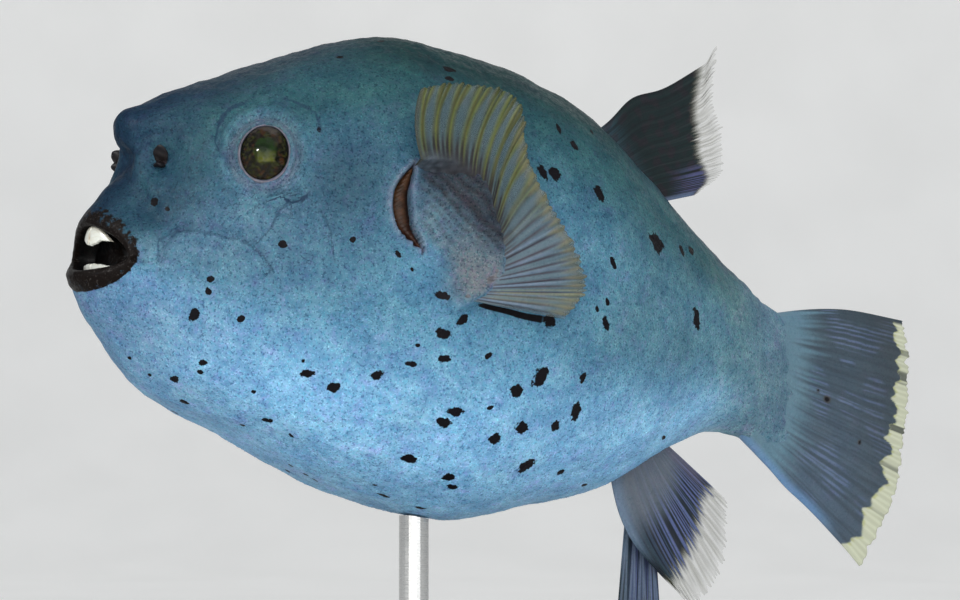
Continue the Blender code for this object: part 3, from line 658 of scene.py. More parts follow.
def wood_finish():
    """Dark stained wood: grain drawn out along the plate, with pores, under a satin varnish."""
    f = Finish("stained_wood", roughness=0.38, specular_ior_level=0.5, coat_weight=0.25, coat_roughness=0.2)
    grain = f.noise(55.0, 5.0, 0.6, f.stretched((1.0, 9.0, 9.0)))
    pores = f.noise(900.0, 2.0, 0.5, f.stretched((0.12, 1.0, 1.0)))
    tone = f.mix(f.ramp(grain, 0.35, 0.65), (0.030, 0.015, 0.008), (0.105, 0.052, 0.026))
    tone = f.mix(f.ramp(pores, 0.56, 0.66, 0.0, 0.6), tone, (0.012, 0.007, 0.004))
    f.set(base_color=tone, roughness=f.ramp(grain, 0.3, 0.7, 0.30, 0.44), normal=f.relief(pores, 0.2, 0.0003))
    return f.material


def steel_finish():
    """Brushed steel: fine scratches round the rod."""
    f = Finish("brushed_steel", metallic=1.0, base_color=(0.55, 0.55, 0.54, 1))
    brushed = f.noise(700.0, 3.0, 0.6, f.stretched((0.3, 0.3, 8.0)))
    f.set(roughness=f.ramp(brushed, 0.3, 0.7, 0.22, 0.40), normal=f.relief(brushed, 0.12, 0.0001))
    return f.material


def floor_finish():
    """Pale, faintly cloudy floor with a little light of its own."""
    glow = {"emission_color": (1, 1, 0.98, 1), "emission_strength": 0.22}
    f = Finish("pale_floor", roughness=0.85, specular_ior_level=0.2, **glow)
    f.set(base_color=f.mix(f.cloud(6.0, 0.3, 0.7, detail=4.0), (0.79, 0.79, 0.78), (0.84, 0.84, 0.83)))
    return f.material


# ---------------------------------------------------------------- tones and markings of the skin


def blended(tone, other, share):
    """The tone moved towards the other by its share at each place."""
    return tone + (np.asarray(other) - tone) * np.asarray(share)[..., None]


def painted(tone, *layers):
    """The tone under layers laid over it in turn, each a colour and its share at each place."""
    tone = np.asarray(tone, float)
    for colour, share in layers:
        tone = blended(tone, colour, share)
    return tone


def varied(tone, amount, points, size, seed):
    """The tone made lighter and darker by random waves of a size."""
    return tone * (1 + amount * waves(points, size, seed))[..., None]


def skin_tone(along, angle, point):
    """The skin's tone: pale blue belly, darker flank and back, dark nape and snout, greyer tail stalk."""
    height = np.degrees(np.arcsin(np.sin(angle)))
    eye = distance(mirrored(point), mirrored(EYE_HERE))
    crown = ease(height, 34, 60) * ease(along, 0.24, 0.36) * ease(along, 0.75, 0.6)
    cheek = ease(height, -30, 5) * ease(height, 34, 14) * ease(along, 0.36, 0.16)
    tone = painted(
        (0.199, 0.424, 0.630),
        ((0.080, 0.204, 0.298), ease(height, -48, -8)),
        ((0.076, 0.180, 0.236), ease(along, 0.50, 0.68) * ease(height, -34, -4)),
        ((0.026, 0.083, 0.096), ease(height, 2, 40)),
        ((0.021, 0.045, 0.062), ease(height, 44, 76)),
        ((0.006, 0.030, 0.030), 0.9 * crown),
        ((0.075, 0.154, 0.212), 0.8 * cheek),
        ((0.021, 0.056, 0.083), 0.9 * bump(along - 0.27, 0.09) * bump(height - 12, 16)),
        ((0.017, 0.052, 0.083), 0.85 * ease(along, 0.17, 0.09) * ease(height, 4, 38)),
        ((0.006, 0.021, 0.043), 0.85 * ease(along, 0.20, 0.12) * ease(height, 58, 78)),
        ((0.117, 0.216, 0.235), 0.75 * ease(along, 0.78, 0.95) * ease(height, 70, 30)),
        (CAUDAL_BASE, ease(along, 0.88, 0.965)),
        ((0.092, 0.185, 0.290), 0.85 * ease(along, 0.24, 0.06) * ease(height, -5, -40)),
        ((0.058, 0.145, 0.195), 0.6 * bump(eye - 0.052, 0.014)),
        ((0.110, 0.128, 0.175), 0.5 * bump(eye - 0.0425, 0.006)),
    )
    tone = tone * (1 + 0.16 * bump(eye - 0.052, 0.012) * orbit_rings(eye, point))[..., None]
    blotch = ease(waves(point, 0.026, 6), 0.1, 1.1) * ease(along, 0.30, 0.16) * ease(height, -25, 10)
    return varied(blended(tone, (0.020, 0.040, 0.078), 0.22 * blotch), 0.06, point, 0.10, 5)


def all_spots():
    """The spots of both sides: the left side's, and as many strewn over the right side from a fixed seed."""
    rng = np.random.default_rng(41)
    rows = [(along, math.radians(degrees), *shape) for along, degrees, *shape in LEFT_SPOTS]
    for along, degrees, length, slim, tilt in LEFT_SPOTS:
        along, degrees = along + rng.normal(0, 0.022), degrees + rng.normal(0, 6)
        if abs(along - 0.40) < 0.09 and -10 < degrees < 48:
            degrees -= 60
        length *= rng.uniform(0.75, 1.2)
        rows.append((float(np.clip(along, 0.06, 0.93)), math.radians(180 - degrees), length, slim, -tilt))
    return rows


def spot_frames():
    """Each spot's middle, and its long and its short direction divided by the half length that way."""
    frames, step = [], 0.003
    for along, angle, length, slim, tilt in all_spots():
        left = 1 if math.cos(angle) > 0 else -1
        here = skin_point(along, angle)
        back = unit(skin_point(along + step, angle) - here)
        higher = skin_point(along, angle + step * left) - here
        higher = unit(higher - back * (higher @ back))
        turn, half = math.radians(left * tilt), length / 2000
        long_way = back * math.cos(turn) + higher * math.sin(turn)
        short_way = higher * math.cos(turn) - back * math.sin(turn)
        frames.append((here, long_way / (half * LONG_REACH), short_way * slim / (half * BROAD_REACH)))
    return [np.array(column) for column in zip(*frames)]


def spot_map(points):
    """For each place, where it lies in the nearest spot's own frame, and which spot: length 1 is its edge."""
    best = np.full(len(points), FAR)
    result = np.full((len(points), 2), (FAR, 0.0))
    nearest = np.zeros(len(points), int)
    for number, (here, long_way, short_way) in enumerate(zip(*SPOTS)):
        away = points - here
        near = np.flatnonzero((away**2).sum(1) < SPOT_FELT)
        pair = np.stack([away[near] @ long_way, away[near] @ short_way], 1)
        spread = np.linalg.norm(pair, axis=1)
        better = spread < best[near]
        best[near[better]] = spread[better]
        result[near[better]] = pair[better]
        nearest[near[better]] = number
    return result, nearest


def corner_spots(points, corners):
    """The spots map at each corner of each face, read in the frame of the spot nearest the face's middle."""
    nearest = spot_map(points[corners].mean(1))[1]
    here, *ways = (column[nearest][:, None] for column in SPOTS)
    return np.stack([((points[corners] - here) * way).sum(-1) for way in ways], -1)


# ---------------------------------------------------------------- the skin


def skin_rows():
    """The rings' measures from the floor of the mouth to the tail, and each ring's place along the fish."""
    rings = np.vstack([MOUTH_RINGS, station(FACE)])
    steps = np.linspace(0, len(MOUTH_RINGS), MOUTH_STEPS + 1)[:-1]
    mouth = np.stack([curve(steps, np.arange(len(rings)), rings[:, column]) for column in range(9)])
    rear = np.linspace(RING_SPANS[-1][1], TAIL_BACK, REAR_RINGS)
    along = np.concatenate([*(np.arange(*span) for span in RING_SPANS), rear])
    measures = np.concatenate([mouth, np.stack(station(along))], axis=1)
    return measures, np.concatenate([FACE - 0.004 * (len(MOUTH_RINGS) - steps), along])


def skin_turns():
    """The columns' angles, closer together over the flanks: t - 0.18 sin 2t."""
    turn = np.arange(COLUMNS) * 2 * math.pi / COLUMNS
    return turn - 0.18 * np.sin(2 * turn)


def beside_path(both, line):
    """The places near a line of points: which they are, their gap from it, its way there from 0 to 1, and the
    cross product of its direction with the way out to the place."""
    near = ((both > line.min(0) - 0.03) & (both < line.max(0) + 0.03)).all(-1)
    start, run = line[:-1], np.diff(line, axis=0)
    away = both[near][:, None] - start
    share = np.clip((away * run).sum(-1) / (run**2).sum(-1), 0, 1)
    gaps = distance(away, share[..., None] * run)
    at, index = gaps.argmin(1), np.arange(len(gaps))
    return near, gaps[index, at], (at + share[index, at]) / len(run), np.cross(run[at], away[index, at])


def fold_relief(point):
    """How deep the folds let the skin in at each place, and their painted shade: each a rounded groove
    between two low ridges, that wanders a little and fades out to its ends."""
    depth, shade = np.zeros(point.shape[:-1]), np.zeros(point.shape[:-1])
    both = mirrored(point) + 0.0016 * np.stack([waves(point, 0.02, seed) for seed in (21, 22, 23)], -1)
    for path, width, deep in FOLDS:
        near, gap, way, _ = beside_path(both, skin_path(path, 25))
        fade = np.sin(math.pi * np.clip(way * 0.92 + 0.04, 0, 1)) ** 0.6
        depth[near] += fade * deep * (bump(gap, width) - 0.5 * bump(gap - 2.1 * width, 1.1 * width))
        shade[near] += fade * bump(gap, width * 0.9) * min(deep / 0.0045, 1)
    return 0.75 * depth, np.clip(shade * (0.75 + 0.6 * waves(point, 0.010, 24)), 0, 1)


def line_marks(point):
    """For each place, its distance from the nearest line in half widths, below 0 on the line's one side, and
    how much of a crease's shade and of black pigment that line lays there."""
    both = mirrored(point)
    best, crease, inked = (np.full(point.shape[:-1], value) for value in (FAR, 0.0, 0.0))
    for path, start_half, end_half, shade, black in LINES:
        near, gap, way, side = beside_path(both, skin_path(path, 33))
        sign = np.where((side * (both[near] * (0, 1, 1))).sum(-1) > 0, 1, -1)
        gap = gap * sign / (start_half + (end_half - start_half) * way)
        fade = np.minimum(ease(way, 0.0, 0.08), ease(way, 1.0, 0.92 + 0.07 * black)) * (np.abs(gap) < 7)
        better = np.abs(gap) < np.abs(best[near])
        for table, values in ((best, gap), (crease, fade * shade), (inked, fade * black)):
            table[near] = np.where(better, values, table[near])
    return best, crease, inked


def swell_relief(point):
    """The sum of height exp(-(distance / radius)^2) over the swells."""
    both = mirrored(point)
    return sum(high * bump(distance(both, middle), radius) for middle, radius, high in SWELLS)


def wrist_gap(point):
    """How far a place lies behind the line where the pectoral fin's rays start."""
    heights = (-0.020, 0.008, 0.029, 0.057, 0.088, 0.119, 0.144, 0.158, 0.172)
    starts = (0.395, 0.43, 0.445, 0.446, 0.442, 0.427, 0.402, 0.372, 0.345)
    return point[..., 0] - curve(point[..., 2], heights, starts)


def mound_relief(point):
    """The mound of flesh between the gill opening and the pectoral fin's wrist: its relief, how much a place
    belongs to it, how far its tone reaches, and how far a place lies behind the opening.

    It rises going back from the rear edge of the opening as t^2 (2 - t), t being the share of the way to the
    line where the rays start, so that it meets the fin at the fin's own slope. Behind it drops away.
    """
    x, z = point[..., 0], point[..., 2]
    flank = np.abs(point[..., 1]) > 0.1
    heights = (-0.020, 0.046, 0.059, 0.079, 0.105, 0.133, 0.150, 0.170)
    behind = x - curve(z, heights, (0.378, 0.372, 0.358, 0.344, 0.338, 0.343, 0.350, 0.350))
    gap = wrist_gap(point)
    way = np.clip(behind / (behind - gap + 1e-6), 0, 1.3)
    way = np.where(behind - gap > 0.004, way, 0)
    share = np.where(way < 1, way**2 * (2 - way), way) * ease(gap, 0.034, 0.002)
    share = np.where(flank, share * ease(z, -0.040, 0.004) * ease(z, 0.190, 0.156), 0)
    heights = (-0.006, 0.010, 0.036, 0.070, 0.106, 0.138, 0.155)
    high = curve(z, heights, (0.021, 0.026, 0.029, 0.028, 0.029, 0.032, 0.033))
    flesh = ease(behind, -0.004, 0.014 + 0.030 * ease(z, 0.07, 0.02)) * ease(gap, 0.016, 0.000)
    flesh = np.where(flank, flesh * ease(z, -0.030, 0.010) * ease(z, 0.182, 0.156), 0)
    return high * share, np.clip(share, 0, 1), flesh, behind


def orbit_rings(spread, point):
    """Fine rings of skin round the eye: the sine of the distance from it, a little shaken."""
    return np.sin(spread * ORBIT_FINENESS + 2 * waves(point, 0.06, 33))


def orbit_relief(point):
    """The skin round the eye: a raised rim, a groove outside it, and low swellings with fine rings between.

    Distances are from the eye's axis, with those to the front divided by the eye's oval.
    """
    flip = np.array((1, -1, 1))
    away = mirrored(point) - EYE_HERE * flip
    height, ahead, higher = ((away * (way * flip)).sum(-1) for way in (EYE_OUTWARD, EYE_FORWARD, EYE_UPWARD))
    spread = np.hypot(ahead / EYE_OVAL, higher)
    lively = 1 + 0.25 * waves(point, 0.05, 31)
    relief = 0.0042 * bump(spread - 0.0405, 0.0045) - 0.0016 * bump(spread - 0.0490, 0.0040)
    relief += lively * (0.0024 * bump(spread - 0.0600, 0.0080) - 0.0016 * bump(spread - 0.0720, 0.0060))
    relief += 0.0009 * orbit_rings(spread, point) * bump(spread - 0.053, 0.012)
    return np.where(height > -0.05, relief, 0)


def gill_relief(point):
    """The gill opening, a crescent slot with a raised, pale lip: its relief, its share and its lip's."""
    line = skin_path(GILL_SLIT, 40)
    both = mirrored(point)
    near = distance(both, line[20]) < 0.10
    relief, slot, rim = (np.zeros(point.shape[:-1]) for _ in range(3))
    gaps = distance(both[near][:, None], line)
    at = gaps.argmin(1)
    half = 0.0102 * np.sin(math.pi * np.clip(at / (len(line) - 1), 0.02, 0.98)) ** 0.65 + 0.0004
    gap = gaps.min(1)
    ahead = np.where(both[near][:, 0] < line[at][:, 0], 1.2, 0.5)
    inside = ease(gap / half, 1.25, 0.62)
    relief[near] = 0.0150 * inside - 0.0030 * bump(gap - half * 1.5, 0.005) * (1 - inside) * ahead
    slot[near] = inside
    rim[near] = bump(gap - half * 1.35, 0.0035) * (1 - inside)
    return relief, slot, rim


def lip_share(along, rise, angle):
    """How much each place belongs to the dark lips, and to the painted highlight on the fold in the left
    corner of the mouth.

    The lips' outer edge lies at a place along the fish that changes with the rise, the sine of the angle.
    """
    edge = 0.0325 - 0.0085 * ease(rise, 0.05, 0.55) - 0.0045 * np.maximum(-rise, 0)
    soft = 0.006 + 0.006 * ease(rise, 0.0, 0.4)
    corner = bump(along - 0.0125, 0.0035) * bump(rise - 0.03, 0.28) * ease(np.cos(angle), 0.2, 0.5)
    inside = ease(along, 0.013, 0.008)
    return ease((along - edge) / soft, 1.0, -1.0) * (1 - 0.9 * inside) * (1 - 0.9 * corner), corner


def make_skin():
    """One skin from the floor of the mouth over the lips, face and body to the base of the tail fin.

    Each row is a ring of the body; the relief moves each point along the form's outward direction.
    """
    measures, label = skin_rows()
    angle = skin_turns()
    point = hollowed(ring_point([column[:, None] for column in measures], angle[None, :], -COAT_DEPTH))
    along, angle = np.broadcast_arrays(label[:, None], angle[None, :])
    columns = (np.roll(point, -1, axis=1) - np.roll(point, 1, axis=1)) / 2
    outward = unit(np.cross(np.gradient(point, axis=0), columns))

    body = ease(along, FACE, FACE + 0.02)
    stalk = ease(along, 0.86, 0.93) * ease(along, 1.06, 1.03)
    fold, shade = fold_relief(point)
    slot_depth, slot, rim = gill_relief(point)
    mound, base, flesh, behind = mound_relief(point)
    chord = ((point[..., ::2] - LOBE_EDGE) * LOBE_WAY).sum(-1)
    hatch = 0.5 + 0.5 * np.sin(chord * HATCH_FINENESS + 2.0 * waves(point, 0.06, 15))
    relief = orbit_relief(point) * body - fold - slot_depth + mound * (1 - slot) + swell_relief(point)
    relief += body * (0.0010 * waves(point, 0.075, 7) + 0.0006 * waves(point, 0.022, 8))
    relief += 0.0002 * (1 - body) * waves(point, 0.012, 9)
    relief += 0.0010 * stalk * np.sin(along * WRINKLE_FINENESS + 3 * waves(point, 0.05, 12))
    relief -= 0.0009 * base * hatch**2
    point = point + outward * relief[..., None]

    z, rise = point[..., 2], np.sin(angle)
    height = np.degrees(np.arcsin(rise))
    hatch_shade = flesh * ease(behind, 0.004, 0.022) * ease(z, 0.03, 0.08) * hatch**3
    dusk = flesh * ease(chord + 0.003 * waves(point, 0.012, 16), -0.034, 0.004) * ease(z, 0.030, 0.075)
    fin_root_shade = bump(np.abs(point[..., 1]) - 0.010, 0.004) * (z < -0.05)
    fin_root_shade = fin_root_shade * ease(along, 0.735, 0.745) * ease(along, 0.83, 0.81)
    lip, corner = lip_share(along, rise, angle)
    tone = painted(
        skin_tone(along, angle, point),
        # Painted shade in the folds' grooves
        ((0.016, 0.034, 0.072), 0.40 * shade),
        ((0.020, 0.008, 0.005), slot),
        ((0.19, 0.21, 0.28), 0.5 * rim),
        ((0.076, 0.128, 0.165), 0.85 * flesh),
        ((0.100, 0.110, 0.122), 0.75 * flesh * bump(z - 0.022, 0.050) * ease(along, 0.365, 0.41)),
        # Painted shade: dark lines in the hatching's grooves on the lobe; the dark patch after them deepens
        # in them too
        ((0.022, 0.028, 0.036), 0.55 * hatch_shade),
        ((0.016, 0.014, 0.017), np.clip(dusk * (0.75 + 0.35 * hatch), 0, 0.86)),
        # Painted shade along the anal fin's root, where the fin meets the belly
        ((0.010, 0.012, 0.016), 0.8 * fin_root_shade),
        # Painted shade: the inside of the mouth darkened almost to black
        ((0.005, 0.005, 0.005), ease(along, 0.021, 0.016)),
        # A painted highlight on the wet fold in the mouth's left corner
        ((0.150, 0.125, 0.105), 0.8 * corner),
    )
    face = ease(along, 0.04, 0.07) * ease(along, 0.32, 0.24) * ease(height, -30, -8)
    marks = dict(zip(MARKS, (*line_marks(point), lip, face)))
    faces = tube_faces(len(label), COLUMNS, first=True, last=True)
    points = np.concatenate([point.reshape(-1, 3), [MOUTH_FLOOR, point[-1].mean(0)]])
    quad_map = corner_spots(points, faces[0]).reshape(-1, 2)
    add_piece(
        "skin", place(points), faces, skin_finish("skin"), ("head", "trunk", "tail_stalk", "lips"),
        colour=np.concatenate([tone.reshape(-1, 3), np.full((2, 3), 0.02)]),
        numbers={name: np.append(values.reshape(-1), (1, 0)) for name, values in marks.items()},
        maps={"spots": np.concatenate([quad_map, np.full((2 * COLUMNS * 3, 2), (FAR, 0.0))])},
    )
    return point, tone, label


# ---------------------------------------------------------------- the prickles


def make_prickles(name, surface, tone, label, start, end, seed):
    """Small backward-leaning prickles, each a four-sided spike, strewn evenly over part of the skin.

    Places come from a two-way golden sequence over (along, angle), kept in proportion to the area there.
    """
    rng = np.random.default_rng(seed)
    number = np.arange(PRICKLES * 3)
    along = start + (end - start) * ((number * GOLDEN_STEPS[0]) % 1)
    turn = (number * GOLDEN_STEPS[1] + 0.31) % 1
    row = np.interp(along, label, np.arange(len(label)))
    column = turn * COLUMNS
    girth = distance(np.roll(surface, -1, axis=1), surface)
    area = girth[row.astype(int), column.astype(int) % COLUMNS]
    area = area / area.max()
    keep = rng.uniform(0, 1, len(area)) < area * min(1, PRICKLES / len(area) / area.mean())
    row, column, along, turn = row[keep], column[keep], along[keep], turn[keep]
    i, j = np.minimum(row.astype(int), len(label) - 2), column.astype(int) % COLUMNS
    p, q = (row - i)[:, None], (column - column.astype(int))[:, None]
    after = (j + 1) % COLUMNS

    def read(table):
        """The surface's or the tone's table at each prickle, mixed from the four nearest points."""
        near = table[i, j] * (1 - q) + table[i, after] * q
        far = table[i + 1, j] * (1 - q) + table[i + 1, after] * q
        return near * (1 - p) + far * p

    root = read(surface)
    back = surface[i + 1, j] - surface[i, j]
    outward = unit(np.cross(back, surface[i, after] - surface[i, j]))
    back = unit(back - outward * (back * outward).sum(1, keepdims=True))
    across = np.cross(outward, back)
    lift = ease(np.sin(2 * math.pi * turn), 0.45, 0.9)
    small = (0.35 + 0.65 * ease(along, 0.08, 0.22)) * (1 - 0.4 * lift) * (1 - 0.75 * ease(along, 0.80, 0.93))
    small = small[:, None]
    height = (PRICKLE_HEIGHT + 0.0004 * rng.uniform(-1, 1, len(root)))[:, None] * small
    foot = root - outward * PRICKLE_DEPTH
    corners = ((1.3, 0), (0, 1), (-1.3, 0), (0, -1))
    ring = [foot + PRICKLE_HALF * small * (back * a + across * b) for a, b in corners]
    tips = root + outward * height * 0.8 + back * height * 1.2
    points = np.stack(ring + [tips], 1).reshape(-1, 3)
    base = np.arange(len(root))[:, None] * 5
    sides = [np.concatenate([base + k, base + (k + 1) % 4, base + 4], 1) for k in range(4)]
    # On the map for baking, each prickle has a tiny patch of its own at its place along and round the fish
    home = np.stack([turn, (along - start) / (end - start)], 1) * 0.994 + 0.003
    patch = np.broadcast_to(np.array([(-1, -1), (1, -1), (0, 1)]), (len(root), 4, 3, 2))
    marks = [np.repeat(values, 5) for values in line_marks(root)]
    none = np.zeros(len(points))
    add_piece(
        name, place(points), [np.stack(sides, 1).reshape(-1, 3)], PRICKLE_FINISH,
        colour=np.repeat(read(tone), 5, axis=0), numbers=dict(zip(MARKS, (*marks, none, none))),
        maps={
            "OFBake": (home[:, None, None] + 0.0015 * patch).reshape(-1, 2),
            "spots": np.repeat(spot_map(root)[0], 12, axis=0),
        },
    )


# ---------------------------------------------------------------- eyes


def eye_axes(hand):
    """The middle of the eye's opening, the eyeball's centre, and its outward, forward and upward ways."""
    here, *axes = skin_frame(EYE_PLACE, hand)
    return here, here - axes[0] * math.sqrt(EYE_RADIUS**2 - EYE_OPENING**2), axes


def turned(centre, axes, spread, turn, height):
    """Points turned about the eye's axis: spread away from it, less to the front and back, at a height."""
    outward, forward, upward = axes
    ring = forward * (EYE_OVAL * np.cos(turn))[..., None] + upward * np.sin(turn)[..., None]
    return centre + ring * spread[..., None] + outward * height[..., None]


def make_eyeball(side_name, hand):
    """The eyeball: a globe whose front is sunk flat for the iris, and a little more for the pupil."""
    _, centre, axes = eye_axes(hand)
    rows, columns = 60, 96
    tilt, turn = round_grid(np.linspace(0.02, math.pi - 0.02, rows), columns)
    spread = tilt / EYE_HALF_ANGLE
    sunk = 0.10 * ease(spread, 1.05, 0.55) + 0.05 * ease(spread, 0.46, 0.36)
    radius = EYE_RADIUS * (0.985 - sunk)
    ball = turned(centre, axes, radius * np.sin(tilt), turn, radius * np.cos(tilt))
    ends = turned(centre, axes, np.zeros(2), np.zeros(2), radius[[0, -1], 0] * (1, -1))
    faces = turned_faces(tube_faces(rows, columns, first=True, last=True), hand < 0)
    # The map is flat: as far from its middle as the tilt, in shares of the opening's
    flat = np.stack([spread * np.cos(turn), spread * np.sin(turn)], -1).reshape(-1, 2)
    flat = np.concatenate([flat, [(0, 0), (4, 0)]])
    points = place(np.concatenate([ball.reshape(-1, 3), ends]))
    corners = np.concatenate([part.reshape(-1) for part in faces])
    add_piece(
        "eyeball_" + side_name, points, faces, EYEBALL_FINISH, ("eye_" + side_name,),
        maps={"iris": flat[corners]},
    )


def make_cornea(side_name, hand):
    """The clear dome over the iris, which bulges most over the pupil."""
    _, centre, axes = eye_axes(hand)
    rows, columns = 24, 96
    tilt, turn = round_grid(np.linspace(0.02, EYE_HALF_ANGLE * 1.06, rows), columns)
    radius = EYE_RADIUS * (1.0 + 0.02 * (1 - (tilt / EYE_HALF_ANGLE) ** 2))
    dome = turned(centre, axes, radius * np.sin(tilt), turn, radius * np.cos(tilt))
    top = turned(centre, axes, np.zeros(1), np.zeros(1), radius[:1, 0])
    points = place(np.concatenate([dome.reshape(-1, 3), top]))
    faces = turned_faces(tube_faces(rows, columns, first=True), hand < 0)
    add_piece("cornea_" + side_name, points, faces, CORNEA_FINISH)


def make_eye_rim(side_name, hand):
    """The thin soft ring of skin that hugs the eyeball: a rounded pinkish lip that sinks under the skin.

    The ring falls away with the spread squared, as the head does round the eye.
    """
    here, _, axes = eye_axes(hand)
    share, turn = round_grid(np.linspace(0, 1, 22), 144)
    spread = 0.0338 + 0.0082 * share
    sag = 0.5 * spread**2 / 0.19
    lift = 0.0040 + 0.0013 * bump(share - 0.15, 0.12) + 0.0005 * np.cos(share * 34) * (1 - share)
    lift = lift - 0.0050 * ease(share, 0.10, 0.0) - 0.0056 * ease(share, 0.55, 1.0)
    lively = 1 + 0.06 * np.sin(3 * turn + 1) + 0.05 * np.sin(7 * turn)
    ring = turned(here, axes, spread, turn, lift * lively - sag)
    tone = painted(
        (0.078, 0.088, 0.115),
        ((0.200, 0.175, 0.205), 0.8 * bump(share - 0.30 - 0.04 * np.sin(2 * turn), 0.07)),
        ((0.045, 0.060, 0.085), 0.7 * bump(share - 0.50, 0.06)),
        ((0.060, 0.115, 0.155), ease(share, 0.52, 0.80)),
        ((0.018, 0.012, 0.012), ease(share, 0.16, 0.04)),
    )
    add_piece(
        "eye_rim_" + side_name, place(ring.reshape(-1, 3)), turned_faces(tube_faces(*share.shape), hand < 0),
        RIM_FINISH, colour=varied(tone, 0.28, ring, 0.014, 61).reshape(-1, 3),
        numbers={"film": np.ones(share.size)},
    )


# ---------------------------------------------------------------- beak, nostrils and gill linings


def make_beak(name, tooth, node, seam_dark, rise_away):
    """One jaw's plate: a rounded box section carried along the jaw's curve, front + sweep * side^2.

    Its two halves meet in a groove in the middle. Its biting edge climbs to the sides and is a little uneven.
    """
    front, sweep, half_width, bite, gum = tooth
    share, turn = round_grid(np.linspace(-1, 1, 121), 28)
    side = share * half_width
    groove = bump(share - 0.01, 0.035)
    face = front + sweep * side * side + 0.0011 * groove
    root = gum * (1 - 0.5 * share * share)
    edge = bite + (gum / 2 - bite) * rise_away * ease(np.abs(share), 0.1, 0.65)
    edge = edge + (root - edge) * (0.10 * groove + 0.05 * np.sin(share * 31) * np.cos(share * 13 + 1))
    deep = TOOTH_THICKNESS / 2 * (1 - 0.35 * share**2)
    across, rise = (np.sign(way) * np.abs(way) ** 0.55 for way in (np.cos(turn), np.sin(turn)))
    back = face + deep * (1 + across) + 0.0005 * (rise + 1)
    ring = np.stack([back, side, (edge + root) / 2 + (root - edge) / 2 * rise], -1)
    stain = bump(share - 0.05, 0.10) * bump(rise + 0.35, 0.5)
    stain = stain * np.clip(0.7 + 0.8 * waves(ring, 0.005, 71), 0, 1)
    tone = painted(
        (0.70, 0.72, 0.66),
        ((0.26, 0.15, 0.06), seam_dark * stain),
        ((0.42, 0.34, 0.22), 0.4 * ease(rise, 0.2, 1.0)),
    )
    points = place(np.concatenate([ring.reshape(-1, 3), [ring[0].mean(0)], [ring[-1].mean(0)]]))
    faces = outward_faces(points, tube_faces(*share.shape, first=True, last=True))
    colour = np.concatenate([tone.reshape(-1, 3), np.full((2, 3), 0.4)])
    add_piece(name, points, faces, BEAK_FINISH, (node,), colour=colour)


def make_nostril(side_name, hand):
    """A fleshy flap that forks into two blunt leaves: flat tubes that widen, cup a little and round off."""
    here, outward, forward, upward = skin_frame(NOSTRIL_PLACE, hand)
    leaves, twist, cupped = NOSTRIL_LEAVES[side_name]
    twist = math.radians(twist)
    share, turn = round_grid(np.linspace(0, 1, 40), 40)
    close = np.sqrt(np.clip(1 - ((share - 0.60) / 0.40).clip(0, 1) ** 2, 0.0004, 1))
    thick = 0.0040 * (1.1 - 0.35 * share) * close
    tone = painted(
        (0.008, 0.0062, 0.0066),
        ((0.10, 0.080, 0.10), 0.7 * ease(share, 0.30, 0.05)),
        ((0.005, 0.005, 0.008), 0.7 * ease(share, 0.50, 0.95)),
    )
    points, faces = [], []
    for leaf, (reach, climb, half) in enumerate(leaves):
        wide = half * (0.55 + 0.50 * np.sin(math.pi * 0.85 * share)) * close
        axis = outward * reach + upward * climb
        line = here - outward * 0.003 - upward * 0.0050 + axis * share[..., None]
        axis = unit(axis)
        broad = unit(forward - axis * (forward @ axis))
        face = np.cross(axis, broad)
        broad, face = (
            broad * math.cos(twist) + face * math.sin(twist),
            face * math.cos(twist) - broad * math.sin(twist),
        )
        across = wide * np.cos(turn)
        lift = thick * np.sin(turn) + 0.25 * across * np.cos(turn) * cupped
        ring = line + broad * across[..., None] + face * lift[..., None]
        ring = ring + 0.0006 * waves(ring, 0.010, 81 + leaf)[..., None] * outward
        faces += [part + leaf * (share.size + 1) for part in tube_faces(*share.shape, last=True)]
        points += [ring.reshape(-1, 3), [ring[-1].mean(0)]]
    points = place(np.concatenate(points))
    colour = np.concatenate([tone.reshape(-1, 3), tone[-1, :1]] * len(leaves))
    add_piece(
        "nostril_flap_" + side_name, points, outward_faces(points, faces), FLAP_FINISH,
        ("nostril_" + side_name,), colour=colour, numbers={"film": np.ones(len(points))},
    )


def make_gill_lining(side_name, hand):
    """The red-brown wall inside the gill opening: a crescent pad with fine cross folds, deep in the slot."""
    share, across = np.meshgrid(np.linspace(0.015, 0.985, 110), np.linspace(-1, 1, 24), indexing="ij")
    line = through([(along, degrees, 0) for along, degrees in GILL_SLIT], share)
    half = 0.0120 * np.sin(math.pi * share) ** 0.60 + 0.0006
    pad = skin_point(line[..., 0] + half * across, np.radians(line[..., 1]))
    inward = unit(pad - (0.36, 0, 0.04))
    crown = 1 - across**2
    depth = 0.0120 - 0.0058 * crown - 0.0004 * np.sin(share * 120 + 9 * across) * crown
    pad = (pad - inward * depth[..., None]) * (1, -hand, 1)
    tone = painted(
        (0.038, 0.0165, 0.0072),
        ((0.008, 0.004, 0.003), ease(np.abs(across + 0.25), 0.35, 0.95)),
        ((0.024, 0.009, 0.006), 0.7 * ease(share, 0.45, 0.85)),
    )
    faces = turned_faces([grid_faces(*share.shape)], hand > 0)
    add_piece(
        "gill_lining_" + side_name, place(pad.reshape(-1, 3)), faces, GILL_FINISH,
        ("gill_" + side_name,), colour=varied(tone, 0.3, pad, 0.012, 91).reshape(-1, 3),
        numbers={"film": np.ones(share.size)},
    )


# ---------------------------------------------------------------- fins


def fin_grid(rays, per_ray, steps):
    """Places across a fin from its leading edge, 0, to its last ray, 1, and out from its root, 0, to 1."""
    return np.meshgrid(np.linspace(0, 1, rays * per_ray + 1), np.linspace(0, 1, steps), indexing="ij")


def fin_sheet(root, margin, across, out):
    """Places on a fin: each ray runs straight from the root line to the margin."""
    start, end = through(root, across), through(margin, across)
    return start + (end - start) * out[..., None]


